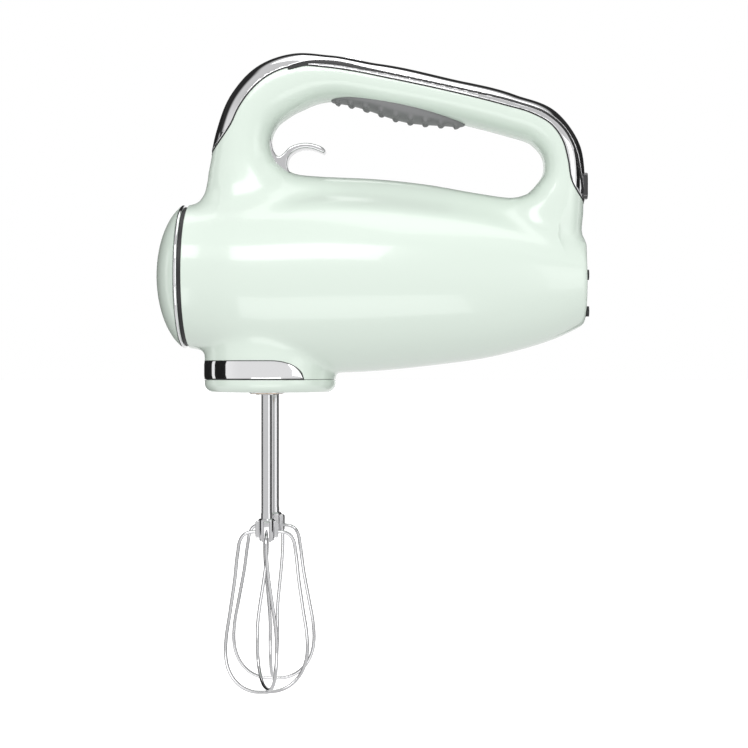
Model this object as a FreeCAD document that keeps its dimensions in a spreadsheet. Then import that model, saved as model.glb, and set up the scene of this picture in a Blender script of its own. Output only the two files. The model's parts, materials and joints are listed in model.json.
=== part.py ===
import FreeCAD, Part
import Sketcher
import math
import os
import re

from FreeCAD import Placement, Rotation, Vector

# Hand mixer: a torpedo motor body with a looped handle above it, a round collar below its nose that
# holds two beaters, a worm gear train between them and the motor, and a trigger that ejects the beaters.
#
# The design frame has X along the body towards the heel, Y across it and Z up. X is 0 at the plane of
# the two beater axes and Z is 0 at the collar's underside. Every node is then placed so that the
# origin of the finished part is the middle of the hand grip.

DIMENSIONS = (
    # body shell
    ("seam_x", -41.0, "front edge of the housing, behind the nose ring"),
    ("body_length", 201.0, "housing, from the front edge to the heel"),
    ("body_height", 91.6, "housing at its fullest section"),
    ("body_width", 90.0, "housing at its fullest section"),
    ("wall", 2.5, "thickness of the moulded shells"),
    ("fit_gap", 0.2, "clearance between pieces that are fitted side by side"),
    # nose
    ("nose_depth", 15.4, "nose cap, from its rim to its tip and past the ring"),
    ("ring_width", 2.0, "bright ring behind the nose cap"),
    ("gasket_width", 2.2, "dark gasket behind the bright ring"),
    ("bulkhead", 2.5, "thickness of the front bulkhead"),
    # collar
    ("collar_r", 33.4, "outer radius of the collar round the beaters"),
    ("collar_drop", 9.9, "how far the collar stands below the belly"),
    ("base_height", 6.4, "collar base"),
    ("base_round", 5.0, "rounding under the collar base"),
    ("band_low", 7.0, "lower edge of the bright band"),
    ("band_height", 8.6, "height of the bright band"),
    ("band_thick", 1.2, "thickness of the bright band"),
    ("band_reach", 18.4, "how far back along X the band's pointed ends come"),
    # handle
    ("handle_rise", 116.2, "top of the handle above the body's axis"),
    ("handle_width", 34.0, "handle, across"),
    ("handle_thick", 22.4, "handle, from top to underside"),
    ("ridge_height", 21.0, "ridge under the hand opening, above its own middle"),
    ("trim_depth", 8.0, "how far the bright trim reaches down the handle's side"),
    ("trim_wall", 1.6, "thickness of the bright trim"),
    ("pad_width", 20.0, "rubber grip pad, across"),
    ("pad_drop", 3.2, "how far the pad stands below the handle"),
    ("grip_x", 70.0, "middle of the hand grip, behind the beater plane"),
    ("grip_z", 152.5, "middle of the hand grip, above the collar's underside"),
    # drive
    ("beater_gap", 40.0, "distance between the two beater axes"),
    ("motor_rise", 2.3, "motor axis above the body's axis"),
    ("shaft_r", 3.0, "motor shaft"),
    ("run_gap", 0.05, "radial clearance of a running fit"),
    ("wheel_teeth", 40.0, "teeth on each worm wheel"),
    ("worm_starts", 2.0, "threads on the worm"),
    ("worm_pitch_r", 4.0, "pitch radius of the worm"),
    ("worm_length", 16.0, "threaded length of the worm"),
    ("worm_sleeve", 0.25, "worm's root above the motor shaft"),
    ("tooth_thick", 0.95, "tooth at the pitch circle, on worm and wheel"),
    ("addendum", 0.65, "tooth above the pitch circle"),
    ("dedendum", 1.0, "tooth below the pitch circle"),
    ("wheel_width", 7.0, "face width of the worm wheels"),
    ("spindle_r", 5.5, "outside of each beater spindle"),
    ("spindle_low", -1.0, "lower end of the spindles"),
    ("spindle_rise", 8.0, "upper end of the spindles above the motor axis"),
    ("bush_r", 8.2, "outside of the spindle bushes"),
    ("bush_height", 6.0, "height of the spindle bushes"),
    ("bearing_r", 8.0, "outside of the shaft bearings"),
    ("bearing_width", 5.0, "width of the shaft bearings"),
    ("frame_front", -26.0, "front face of the gear frame"),
    ("frame_rear", 22.0, "front face of the gear frame's rear wall"),
    ("frame_drop", 16.0, "underside of the gear frame below the motor axis"),
    ("frame_plate", 4.0, "thickness of the gear frame's plate"),
    ("frame_width", 60.0, "gear frame, across"),
    ("leg_r", 3.5, "legs between the gear frame and the collar base"),
    ("leg_spread_x", 20.0, "legs, from the beater plane"),
    ("leg_spread_y", 17.5, "legs, from the middle plane"),
    ("fan_x", 33.0, "front of the cooling fan"),
    ("fan_r", 22.0, "cooling fan"),
    ("stator_x", 58.0, "front of the stator"),
    ("stator_length", 32.0, "stator and armature core"),
    ("stator_r", 26.5, "outside of the stator"),
    ("armature_r", 14.0, "armature core"),
    ("air_gap", 0.6, "between the armature and the stator"),
    ("commutator_x", 99.0, "front of the commutator"),
    ("commutator_r", 8.0, "commutator"),
    ("commutator_length", 10.0, "commutator"),
    ("brush_side", 6.0, "side of the square carbon brushes"),
    ("bracket_x", 112.0, "front of the rear bearing bracket"),
    # ejector
    ("eject_pin_r", 2.7, "pins that push the beaters out"),
    ("eject_head_r", 5.0, "heads of those pins"),
    ("eject_lift", 8.2, "underside of the pin heads above the spindles"),
    ("yoke_thick", 3.0, "ejector yoke"),
    ("touch_gap", 0.3, "between pieces that push on each other"),
    ("pivot_x", -2.0, "trigger pivot"),
    ("pivot_rise", 52.3, "trigger pivot above the body's axis"),
    ("pivot_r", 1.5, "trigger pin"),
    ("trigger_width", 11.0, "trigger, across"),
    ("trigger_sweep", 20.9, "radius that the trigger's upper edge sweeps"),
    ("root_sweep", 15.8, "radius that the trigger's root sweeps"),
    # beaters
    ("beater_r", 2.75, "beater shaft"),
    ("beater_fit", 0.1, "radial clearance of the beater in its spindle"),
    ("beater_seat", 44.0, "how far the beater goes up into its spindle"),
    ("hub_top", -64.0, "top of the beater hub"),
    ("hub_height", 9.8, "beater hub"),
    ("hub_r", 4.2, "round middle of the beater hub"),
    ("arm_reach", 5.7, "hub arms, from the axis"),
    ("arm_width", 3.2, "hub arms, across"),
    ("wire_r", 0.85, "beater wire"),
    ("whisk_drop", 80.6, "wires, from where they leave the hub to the lowest point"),
    ("whisk_r", 20.6, "middle of the wire at the fullest turn"),
    # heel
    ("heel_thick", 2.8, "heel plate"),
    ("heel_r", 16.5, "heel plate"),
    ("gland_drop", 5.8, "cord inlet below the body's axis"),
    ("gland_r", 7.0, "outside of the cord gland"),
    ("gland_bore", 3.6, "bore of the cord gland"),
    ("foot_r", 2.6, "rubber heel feet"),
    ("foot_proud", 1.4, "feet, beyond the heel"),
    ("foot_spread", 9.2, "feet, from the cord inlet along Y and Z"),
    ("lens_height", 13.4, "display lens"),
    ("lens_width", 17.0, "display lens"),
    ("lens_rise", 48.4, "middle of the lens above the body's axis"),
    ("slider_x", 42.0, "speed slider, behind the beater plane"),
    ("slider_length", 13.0, "speed slider"),
    ("slider_width", 8.0, "speed slider"),
    ("slider_travel", 2.5, "speed slider, each way"),
    ("slider_slope", 9.7, "slope of the handle under the slider, in degrees"),
)

# Housing sections: share of body_length, centre above the axis, shares of half height and half width.
BODY_SECTIONS = (
    (0.000, 3.2, 0.797, 0.811),
    (0.150, -0.4, 0.941, 0.945),
    (0.350, 0.0, 1.000, 1.000),
    (0.600, 0.0, 0.925, 0.922),
    (0.800, -0.4, 0.777, 0.767),
    (0.950, -0.6, 0.560, 0.555),
    (1.000, 0.0, 0.446, 0.460),
)

# Handle sections: share of body_length, share of handle_rise, slope in degrees, and shares of half
# thickness and half width.
HANDLE_SECTIONS = (
    (0.144, 0.310, 90.0, 2.14, 1.41),
    (0.146, 0.485, 92.0, 1.74, 1.12),
    (0.137, 0.640, 88.0, 1.29, 1.00),
    (0.189, 0.812, 45.0, 1.14, 1.00),
    (0.306, 0.903, 1.0, 1.01, 1.00),
    (0.483, 0.861, -11.5, 1.01, 1.00),
    (0.657, 0.798, -11.5, 0.98, 1.00),
    (0.811, 0.735, -16.0, 0.93, 1.00),
    (0.919, 0.640, -52.0, 0.90, 1.00),
    (0.948, 0.500, -90.0, 0.94, 1.03),
    (0.925, 0.381, -90.0, 1.34, 1.06),
    (0.905, 0.278, -90.0, 1.70, 1.02),
    (0.883, 0.140, -90.0, 2.10, 0.75),
)

# Ridge that joins the handle's two feet along the body: share of body_length, its top as a share of
# handle_rise.
RIDGE_SECTIONS = (
    (0.155, 0.470),
    (0.204, 0.472),
    (0.353, 0.464),
    (0.503, 0.451),
    (0.652, 0.421),
    (0.786, 0.378),
    (0.866, 0.372),
)

# The wire's outline below the hub: share of whisk_drop, share of whisk_r.
WIRE_OUTLINE = (
    (0.000, 0.277),
    (0.000, 0.480),
    (0.040, 0.655),
    (0.125, 0.700),
    (0.370, 0.810),
    (0.600, 0.965),
    (0.700, 1.000),
    (0.820, 0.945),
    (0.925, 0.740),
    (0.982, 0.410),
)
TWIST_TOP, TWIST_LOW = 4.0, 18.6  # degrees, at the hub and from the fullest turn down
HUB_TURN = {"left": 0.0, "right": -18.6}  # degrees between the two beaters, so they interleave

SIDES = {"left": -1, "right": 1}  # -Y is on the user's left
PRESSURE_ANGLE = 20.0  # degrees
WORM_SECTIONS = 12  # in one turn of the worm's thread

AXIS_Z = "(collar_drop + body_height / 2)"
MOTOR_Z = f"({AXIS_Z} + motor_rise)"
HEEL_X = "(seam_x + body_length)"
WHEEL_PITCH_R = "(beater_gap / 2 - worm_pitch_r)"
SPINDLE_TOP = f"({MOTOR_Z} + spindle_rise)"
HEAD_LOW = f"({SPINDLE_TOP} + eject_lift)"
YOKE_LOW = f"({HEAD_LOW} + yoke_thick + touch_gap)"
PIVOT_Z = f"({AXIS_Z} + pivot_rise)"
ARM_TIP = (-15.0, -10.5, 2.2)  # the trigger's inner arm: from the pivot, and the radius of its nose
GLAND_Z = f"({AXIS_Z} - gland_drop)"
LENS_Z = f"({AXIS_Z} + lens_rise)"

doc = FreeCAD.newDocument("HandMixer")
sheet = doc.addObject("Spreadsheet::Sheet", "dims")
nodes = []


def fill_sheet():
    for row, (alias, value, note) in enumerate(DIMENSIONS, start=1):
        sheet.set(f"A{row}", alias)
        sheet.set(f"B{row}", str(value))
        sheet.setAlias(f"B{row}", alias)
        sheet.set(f"C{row}", note)
    doc.recompute()


def linked(text):
    """An expression on the sheet's cells, from one written with their plain names."""
    return re.sub(r"[a-z_]+", lambda word: "dims." + word.group(), str(text))


def size(text):
    """The value of such an expression."""
    return float(probe.evalExpression(linked(text)))


# --- primitives whose sizes and places are bound to the sheet ---


TURNS = {
    "x": Rotation(Vector(0, 1, 0), 90),
    "y": Rotation(Vector(1, 0, 0), -90),
    "z": Rotation(),
}


def place(obj, x=0, y=0, z=0, turn=None):
    if turn is not None:
        obj.Placement = Placement(Vector(), turn)
    for letter, text in zip("xyz", (x, y, z)):
        obj.setExpression(f"Placement.Base.{letter}", linked(text))
    return obj


def cylinder(radius, length, x=0, y=0, z=0, along="z"):
    obj = doc.addObject("Part::Cylinder", "Cylinder")
    obj.setExpression("Radius", linked(radius))
    obj.setExpression("Height", linked(length))
    return place(obj, x, y, z, TURNS[along])


def box(length, width, height, x, y, z, turn=None):
    """A box with its lowest corner at x, y, z before it is turned."""
    obj = doc.addObject("Part::Box", "Box")
    for name, text in (("Length", length), ("Width", width), ("Height", height)):
        obj.setExpression(name, linked(text))
    return place(obj, x, y, z, turn)


def fuse(*parts):
    obj = doc.addObject("Part::MultiFuse", "Fuse")
    obj.Shapes = list(parts)
    return obj


def cut(base, *tools):
    obj = doc.addObject("Part::Cut", "Cut")
    obj.Base = base
    obj.Tool = tools[0] if len(tools) == 1 else fuse(*tools)
    return obj


def ring(outer, inner, length, x=0, y=0, z=0, along="z"):
    return cut(cylinder(outer, length, x, y, z, along), cylinder(inner, length, x, y, z, along))


def shaped(shape):
    """A feature whose shape is made from the sheet's values by Part's own functions."""
    obj = doc.addObject("Part::Feature", "Shape")
    obj.Shape = shape
    return obj


def node(label, *parts):
    """The finished sub-part: its solids, moved so that the origin is the middle of the grip."""
    obj = doc.addObject("Part::Compound", label)
    obj.Label = label
    obj.Links = list(parts)
    place(obj, "-grip_x", 0, "-grip_z")
    nodes.append(obj)
    return obj


def spline(points, closed=False):
    curve = Part.BSplineCurve()
    curve.interpolate(Points=points, PeriodicFlag=closed)
    return curve.toShape()


def slab(edges, half_width):
    """A flat outline in the XZ plane, extruded the same way to both sides."""
    face = Part.Face(Part.Wire(edges))
    face.translate(Vector(0, -half_width, 0))
    return face.extrude(Vector(0, 2 * half_width, 0))


def skinned(rings):
    """A closed solid through rings of points that match one to one."""
    faces = []
    for low, high in zip(rings, rings[1:]):
        for i in range(len(low)):
            j = (i + 1) % len(low)
            sides = [Part.makeLine(points[i], points[j]) for points in (low, high)]
            faces.append(Part.makeRuledSurface(*sides))
    for points in (rings[0], rings[-1]):
        faces.append(Part.Face(Part.makePolygon(points + points[:1])))
    shell = Part.makeShell(faces)
    shell.sewShape()
    solid = Part.Solid(shell)
    if solid.Volume < 0:
        solid.reverse()
    return solid


# --- revolved pieces, drawn in a sketch and bound to the sheet ---


def revolved(label, outline):
    """A PartDesign body: a closed outline of (x, radius) expressions, turned about the X axis."""
    body = doc.addObject("PartDesign::Body", label + "_body")
    sketch = body.newObject("Sketcher::SketchObject", label + "_outline")
    plane = [o for o in body.Origin.OriginFeatures if o.Role == "XY_Plane"][0]
    sketch.AttachmentSupport = [(plane, "")]
    sketch.MapMode = "FlatFace"
    spots = [(size(x), size(r)) for x, r in outline]
    count = len(spots)
    for i, (x, r) in enumerate(spots):
        end = spots[(i + 1) % count]
        sketch.addGeometry(Part.LineSegment(Vector(x, r, 0), Vector(end[0], end[1], 0)), False)
    for i in range(count):
        sketch.addConstraint(Sketcher.Constraint("Coincident", i, 2, (i + 1) % count, 1))
    for i, (x, r) in enumerate(outline):
        for kind, text, value in (("DistanceX", x, spots[i][0]), ("DistanceY", r, spots[i][1])):
            name = f"{kind}{i}"
            index = sketch.addConstraint(Sketcher.Constraint(kind, -1, 1, i, 1, value))
            sketch.renameConstraint(index, name)
            sketch.setExpression(f"Constraints.{name}", linked(text))
    turned = body.newObject("PartDesign::Revolution", label + "_turned")
    turned.Profile = sketch
    turned.ReferenceAxis = (sketch, ["H_Axis"])
    turned.Angle = 360
    body.Tip = turned
    doc.recompute()
    return body


# --- the outer form ---


def body_form(inset):
    """The torpedo body, inset by a wall; the inset one runs out through the open front."""
    sections = []
    for share, rise, tall, wide in BODY_SECTIONS:
        x = size("seam_x") + share * size("body_length")
        if inset and share == 0.0:
            x -= 1.0
        if inset and share == 1.0:
            x -= size("heel_thick")
        centre = Vector(x, 0, size(AXIS_Z) + rise)
        up = tall * size("body_height") / 2 - inset
        side = wide * size("body_width") / 2 - inset
        sections.append(ellipse(centre, Vector(0, 0, up), Vector(0, side, 0)))
    return Part.makeLoft(sections, True, False)


def ellipse(centre, first, second):
    """An elliptical wire from its centre and two half axes."""
    long, short = (first, second) if first.Length > second.Length else (second, first)
    return Part.Wire(Part.Ellipse(centre + long, centre + short, centre).toShape())


def handle_form(inset):
    """The handle loop, a tube through elliptical sections, with both ends inside the body."""
    sections = []
    for share, rise, slope, thick, wide in HANDLE_SECTIONS:
        x = size("seam_x") + share * size("body_length")
        centre = Vector(x, 0, size(AXIS_Z) + rise * size("handle_rise"))
        angle = math.radians(slope + 90)
        outward = Vector(math.cos(angle), 0, math.sin(angle))
        outward.multiply(thick * size("handle_thick") / 2 - inset)
        side = Vector(0, wide * size("handle_width") / 2 - inset, 0)
        sections.append(ellipse(centre, outward, side))
    return Part.makeLoft(sections, True, False)


def ridge_form(inset):
    """The narrow ridge under the hand opening, from one foot of the handle to the other."""
    sections = []
    for share, rise in RIDGE_SECTIONS:
        x = size("seam_x") + share * size("body_length")
        centre = Vector(x, 0, size(AXIS_Z) + rise * size("handle_rise") - size("ridge_height"))
        side = size("handle_width") / 2 - inset
        sections.append(ellipse(centre, Vector(0, 0, size("ridge_height") - inset), Vector(0, side, 0)))
    return Part.makeLoft(sections, True, False)


def collar_form(inset):
    low = size("base_height")
    top = size(AXIS_Z)
    return Part.makeCylinder(size("collar_r") - inset, top - low, Vector(0, 0, low))


def outer_form(inset):
    """Body, handle and collar as one solid."""
    return body_form(inset).fuse([handle_form(inset), ridge_form(inset), collar_form(inset)])


def handle_outline(extra):
    """Points on the handle's outer edge in the side view, moved out by extra."""
    points = []
    for share, rise, slope, thick, _ in HANDLE_SECTIONS[1:12]:
        x = size("seam_x") + share * size("body_length")
        z = size(AXIS_Z) + rise * size("handle_rise")
        angle = math.radians(slope + 90)
        reach = thick * size("handle_thick") / 2 + extra
        points.append(Vector(x + reach * math.cos(angle), 0, z + reach * math.sin(angle)))
    return points


def trim_region(gap):
    """What of the handle the bright trim covers: all that is less than trim_depth from its crest."""
    depth = size("trim_depth") - gap
    inner = handle_outline(-depth)
    start, end = handle_outline(4.0)[0], handle_outline(4.0)[-1]
    inner[0], inner[-1] = start, end
    far = size("handle_rise")
    corners = [end, Vector(end.x + far, 0, end.z), Vector(end.x + far, 0, end.z + 2 * far)]
    corners += [Vector(start.x - far, 0, end.z + 2 * far), Vector(start.x - far, 0, start.z), start]
    edges = [spline(inner)] + [Part.makeLine(a, b) for a, b in zip(corners, corners[1:])]
    return slab(edges, size("handle_width"))


def band_region(gap):
    """The bright band's side outline: straight, with a rounded taper at its rear end."""
    low = size("band_low") - gap
    top = size("band_low + band_height") + gap
    rear = size("band_reach") + gap
    front = -size("collar_r") - 5.0
    taper = rear - 2.2 * size("band_height")
    bend = Part.Ellipse(Vector(rear, 0, low), Vector(taper, 0, top), Vector(taper, 0, low))
    arc = Part.Arc(bend, 0.0, math.pi / 2).toShape()
    first, last = arc.Vertexes[0].Point, arc.Vertexes[-1].Point
    corner_low, corner_top = Vector(front, 0, low), Vector(front, 0, top)
    edges = [arc, Part.makeLine(last, corner_top), Part.makeLine(corner_top, corner_low)]
    edges.append(Part.makeLine(corner_low, first))
    return slab(edges, size("collar_r") + 5.0)


def make_housing():
    """The two shells, the trim over the handle and the band round the collar."""
    outer = outer_form(0.0)
    inner = outer_form(size("wall"))
    shell = outer.cut(inner)
    far = size("body_length") * 2
    trim_inner = handle_form(size("trim_wall"))
    trim = handle_form(0.0).cut(trim_inner).common(trim_region(0.0))
    trim = trim.cut(body_form(0.0))
    collar_r, thick = size("collar_r"), size("band_thick")
    height = size(AXIS_Z)
    band = Part.makeCylinder(collar_r + 0.3, height).cut(Part.makeCylinder(collar_r - thick, height))
    band = band.common(band_region(0.0))
    recess = Part.makeCylinder(collar_r + 1.0, height)
    recess = recess.cut(Part.makeCylinder(collar_r - thick - size("fit_gap"), height))
    shell = shell.cut([trim_region(-size("fit_gap")), recess.common(band_region(size("fit_gap")))])
    slot = trigger_slot()
    window = lens_window(size("fit_gap"))
    hole = heel_form("heel_r + fit_gap", "heel_thick + 4")
    shell = shell.cut([slot, window, hole])
    trim = trim.cut([slider_slot(), window])
    for side, sign in SIDES.items():
        # Each half stops half a gap short of the middle plane.
        half = Part.makeBox(far, far, far, Vector(-far / 2, 0.02, -far / 2))
        if sign < 0:
            half = half.mirror(Vector(), Vector(0, 1, 0))
        node(f"housing_{side}", shaped(largest(shell.common(half))))
    node("handle_trim", shaped(largest(trim)))
    node("collar_band", shaped(band))


def largest(shape):
    """The main solid of a boolean's result."""
    return max(shape.Solids, key=lambda solid: solid.Volume)


def trigger_slot():
    """Room for the trigger to swing: its root in the corner, and its upper edge in the front leg."""
    half = size("trigger_width") / 2 + 0.5
    centre = Vector(size("pivot_x"), -half, size(PIVOT_Z))
    sweep = size("trigger_sweep")
    root = Part.makeCylinder(size("root_sweep"), 2 * half, centre, Vector(0, 1, 0))
    upper = Part.makeCylinder(sweep, 2 * half, centre, Vector(0, 1, 0))
    limit = Part.makeBox(sweep + 8.0, 2 * half, sweep, centre + Vector(-sweep, 0, 0))
    return root.fuse(upper.common(limit))


def lens_window(gap):
    """The opening for the display lens, through trim and shell."""
    tall, wide = size("lens_height") + 2 * gap, size("lens_width") + 2 * gap
    corner = Vector(size(HEEL_X) - 6.0, -wide / 2, size(LENS_Z) - tall / 2)
    return Part.makeBox(12.0, wide, tall, corner)


def heel_form(radius, depth):
    """A round plate on the body's axis that ends flush with the heel."""
    deep = size(depth)
    start = Vector(size(HEEL_X) - deep, 0, size(AXIS_Z))
    return Part.makeCylinder(size(radius), deep, start, Vector(1, 0, 0))


def slider_frame():
    """Where the slider stands: its middle on the handle's crest, X along the slope."""
    crest = spline(handle_outline(0.0))
    x = size("slider_x")
    line = Part.makeLine(Vector(x, 0, 0), Vector(x, 0, 4 * size("handle_rise")))
    spot = crest.distToShape(line)[1][0][0]
    return Placement(spot, Rotation(Vector(0, 1, 0), size("slider_slope")))


def slider_block(length, width, low, top):
    block = Part.makeBox(length, width, top - low, Vector(-length / 2, -width / 2, low))
    block.Placement = slider_frame()
    return block


def slider_slot():
    room = 2 * (size("slider_travel") + size("touch_gap"))
    return slider_block(size("slider_length") + room, size("slider_width") + 0.6, -6.0, 6.0)


# --- the pieces, group by group ---


def make_nose():
    rim = "(seam_x - gasket_width - ring_width)"
    mouth = "(body_height * 0.3985)"
    outline = nose_outline(rim, mouth, "0")
    inner = nose_outline(rim, mouth, "wall")
    node("nose_cap", revolved_at_nose("nose_cap", outline + list(reversed(inner))))
    node("nose_ring", nose_ring("ring_width", rim, f"{mouth} - 0.2"))
    node("nose_gasket", nose_ring("gasket_width", "seam_x - gasket_width", f"{mouth} - 0.9"))
    plate = cylinder(f"{mouth} - wall - fit_gap", "bulkhead", "seam_x", 0, f"{AXIS_Z} + 3.2", "x")
    holes = [nose_bolt(i, "1.6", "bulkhead", "seam_x") for i in range(4)]
    node("front_bulkhead", cut(plate, *holes))
    screws = []
    for i in range(4):
        shank = nose_bolt(i, "1.4", "8", "seam_x")
        head = nose_bolt(i, "2.7", "1.8", "seam_x - 1.8")
        screws.append(fuse(shank, head))
    node("nose_screws", *screws)


def nose_outline(rim, mouth, inset):
    """Quarter ellipse from the rim to the tip, as (x, radius) expressions."""
    points = []
    for step in range(9):
        angle = math.radians(66.0 - 66.0 * step / 8)
        across, along = math.sin(angle), math.cos(angle)
        full, start = math.sin(math.radians(66.0)), math.cos(math.radians(66.0))
        x = f"{rim} - (nose_depth - 3 - {inset}) * {(along - start) / (1 - start):.5f}"
        points.append((x, f"({mouth} - 1 - {inset}) * {across / full:.5f}"))
    return points


def revolved_at_nose(label, outline):
    """The revolved body stands on the nose's own axis."""
    holder = doc.addObject("Part::Compound", label + "_raised")
    holder.Links = [revolved(label, outline)]
    return place(holder, 0, 0, f"{AXIS_Z} + 3.2")


def nose_ring(width, x, radius):
    return ring(radius, f"{radius} - 3", width, x, 0, f"{AXIS_Z} + 3.2", "x")


def nose_bolt(index, radius, length, x):
    angle = math.radians(45 + 90 * index)
    y = f"{math.cos(angle):.5f} * (body_height * 0.3985 - 11)"
    z = f"{AXIS_Z} + 3.2 + {math.sin(angle):.5f} * (body_height * 0.3985 - 11)"
    return cylinder(radius, length, x, y, z, "x")


def make_collar():
    disc = cylinder("collar_r", "base_height")
    doc.recompute()
    rounded = doc.addObject("Part::Fillet", "BaseRound")
    rounded.Base = disc
    low = min(range(len(disc.Shape.Edges)), key=lambda i: disc.Shape.Edges[i].CenterOfMass.z)
    rounded.Edges = [(low + 1, size("base_round"), size("base_round"))]
    hollow = cylinder("collar_r - wall", "base_height", 0, 0, "wall")
    holes = [cylinder("bush_r", "wall * 2", 0, f"{s} * beater_gap / 2", "-wall / 2") for s in (-1, 1)]
    bolts = [leg_place("1.6", "wall * 2", "-wall / 2", i) for i in range(4)]
    recesses = [leg_place("3", "1", "-0.01", i) for i in range(4)]
    node("collar_base", cut(rounded, hollow, *holes, *bolts, *recesses))
    screws = []
    for i in range(4):
        head = leg_place("2.7", "0.8", "0.1", i)
        screws.append(fuse(head, leg_place("1.4", "9", "0.5", i)))
    node("collar_screws", *screws)


def leg_place(radius, length, z, index):
    x = f"{(-1, 1)[index % 2]} * leg_spread_x"
    y = f"{(-1, 1)[index // 2]} * leg_spread_y"
    return cylinder(radius, length, x, y, z)


def make_gear_frame():
    """The plate over the collar that carries the spindles, the worm and the motor bracket."""
    low = f"({MOTOR_Z} - frame_drop)"
    run = "(frame_rear + bearing_width - frame_front)"
    plate = box(run, "frame_width", "frame_plate", "frame_front", "-frame_width / 2", low)
    high = "(frame_drop + bearing_r + 3)"
    front = box("bearing_width", "22", high, "frame_front", "-11", low)
    rear = box("bearing_width", "frame_width", high, "frame_rear", "-frame_width / 2", low)
    legs = [leg_place("leg_r", f"{low} - wall", "wall", i) for i in range(4)]
    bores = [cylinder("bush_r", "40", 0, f"{s} * beater_gap / 2", f"{low} - 10") for s in (-1, 1)]
    seats = [
        cylinder("bearing_r", "bearing_width", "frame_front", 0, MOTOR_Z, "x"),
        cylinder("bearing_r", "bearing_width", "frame_rear", 0, MOTOR_Z, "x"),
    ]
    bolts = [leg_place("1.4", "8", "1.6", i) for i in range(4)]
    node("gear_frame", cut(fuse(plate, front, rear, *legs), *bores, *seats, *bolts))
    bushes = []
    for sign in (-1, 1):
        y = f"{sign} * beater_gap / 2"
        for z in ("-0.6", f"{low} - 1"):
            bushes.append(ring("bush_r", "spindle_r + run_gap", "bush_height", 0, y, z))
    node("spindle_bushes", *bushes)


def make_shaft_bearings():
    for label, x in (
        ("worm_bearing", "frame_front"),
        ("front_bearing", "frame_rear"),
        ("rear_bearing", "bracket_x"),
    ):
        piece = ring("bearing_r", "shaft_r + run_gap", "bearing_width", x, 0, MOTOR_Z, "x")
        node(label, piece)


def make_rotor():
    """All that turns with the motor: shaft and worm, fan, armature and commutator."""
    length = "(bracket_x + bearing_width - frame_front + 1)"
    node("motor_shaft", cylinder("shaft_r", length, "frame_front + 0.5", 0, MOTOR_Z, "x"))
    node("drive_worm", shaped(worm()))
    hub = ring("7", "shaft_r", "10", "fan_x", 0, MOTOR_Z, "x")
    disc = ring("fan_r", "7", "1.5", "fan_x", 0, MOTOR_Z, "x")
    blades = [shaped(fan_blade(i)) for i in range(12)]
    node("cooling_fan", fuse(hub, disc, *blades))
    core = ring("armature_r", "shaft_r", "stator_length", "stator_x", 0, MOTOR_Z, "x")
    slots = [shaped(armature_slot(i)) for i in range(12)]
    node("armature_core", cut(core, *slots))
    ends = []
    for x in ("stator_x - 6", "stator_x + stator_length"):
        ends.append(ring("armature_r - 2", "shaft_r", "6", x, 0, MOTOR_Z, "x"))
    node("armature_windings", *ends)
    drum = ring("commutator_r", "shaft_r", "commutator_length", "commutator_x", 0, MOTOR_Z, "x")
    node("commutator", drum)


def fan_blade(index):
    x, z = size("fan_x"), size(MOTOR_Z)
    blade = Part.makeBox(8.0, 1.2, size("fan_r") - 6.5, Vector(x + 1.0, -0.6, 6.0))
    blade.rotate(Vector(), Vector(1, 0, 0), 30.0 * index)
    blade.translate(Vector(0, 0, z))
    return blade


def armature_slot(index):
    length = size("stator_length")
    slot = Part.makeBox(length, 1.6, 6.0, Vector(size("stator_x"), -0.8, size("armature_r") - 5.0))
    slot.rotate(Vector(), Vector(1, 0, 0), 30.0 * index)
    slot.translate(Vector(0, 0, size(MOTOR_Z)))
    return slot


def gear_module():
    return size(f"2 * {WHEEL_PITCH_R} / wheel_teeth")


def tooth_half(depth):
    """Half the thickness of a tooth at a depth below its pitch line, with flanks at the pressure angle."""
    return size("tooth_thick") / 2 + math.tan(math.radians(PRESSURE_ANGLE)) * depth


def worm():
    """Right-hand worm, skinned over cross-sections that turn as they go along the motor shaft."""
    lead = math.pi * gear_module() * size("worm_starts")
    length = size("worm_length")
    steps = math.ceil(WORM_SECTIONS * length / lead)
    made = skinned([worm_section(lead, length * (i / steps - 0.5)) for i in range(steps + 1)])
    bore = Part.makeCylinder(size("shaft_r"), length, Vector(-length / 2, 0, 0), Vector(1, 0, 0))
    made = made.cut(bore)
    made.translate(Vector(0, 0, size(MOTOR_Z)))
    return made


def worm_section(lead, x):
    """The worm's cross-section at x: a thread faces each wheel where x is 0."""
    starts = int(size("worm_starts"))
    pitch_r = size("worm_pitch_r")
    sleeve, tip = size("shaft_r + worm_sleeve"), size("worm_pitch_r + addendum")
    flank = [(r, 2 * math.pi * tooth_half(pitch_r - r) / lead) for r in (sleeve, pitch_r, tip)]
    share = math.pi / starts
    lobe = [(r, -turn) for r, turn in flank] + [(r, turn) for r, turn in reversed(flank)]
    valley = share - flank[0][1]
    lobe += [(sleeve, share - valley / 3), (sleeve, share + valley / 3)]
    points = []
    for start in range(starts):
        for r, turn in lobe:
            angle = turn + 2 * math.pi * (x / lead + start / starts)
            points.append(Vector(x, r * math.cos(angle), r * math.sin(angle)))
    return points


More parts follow.
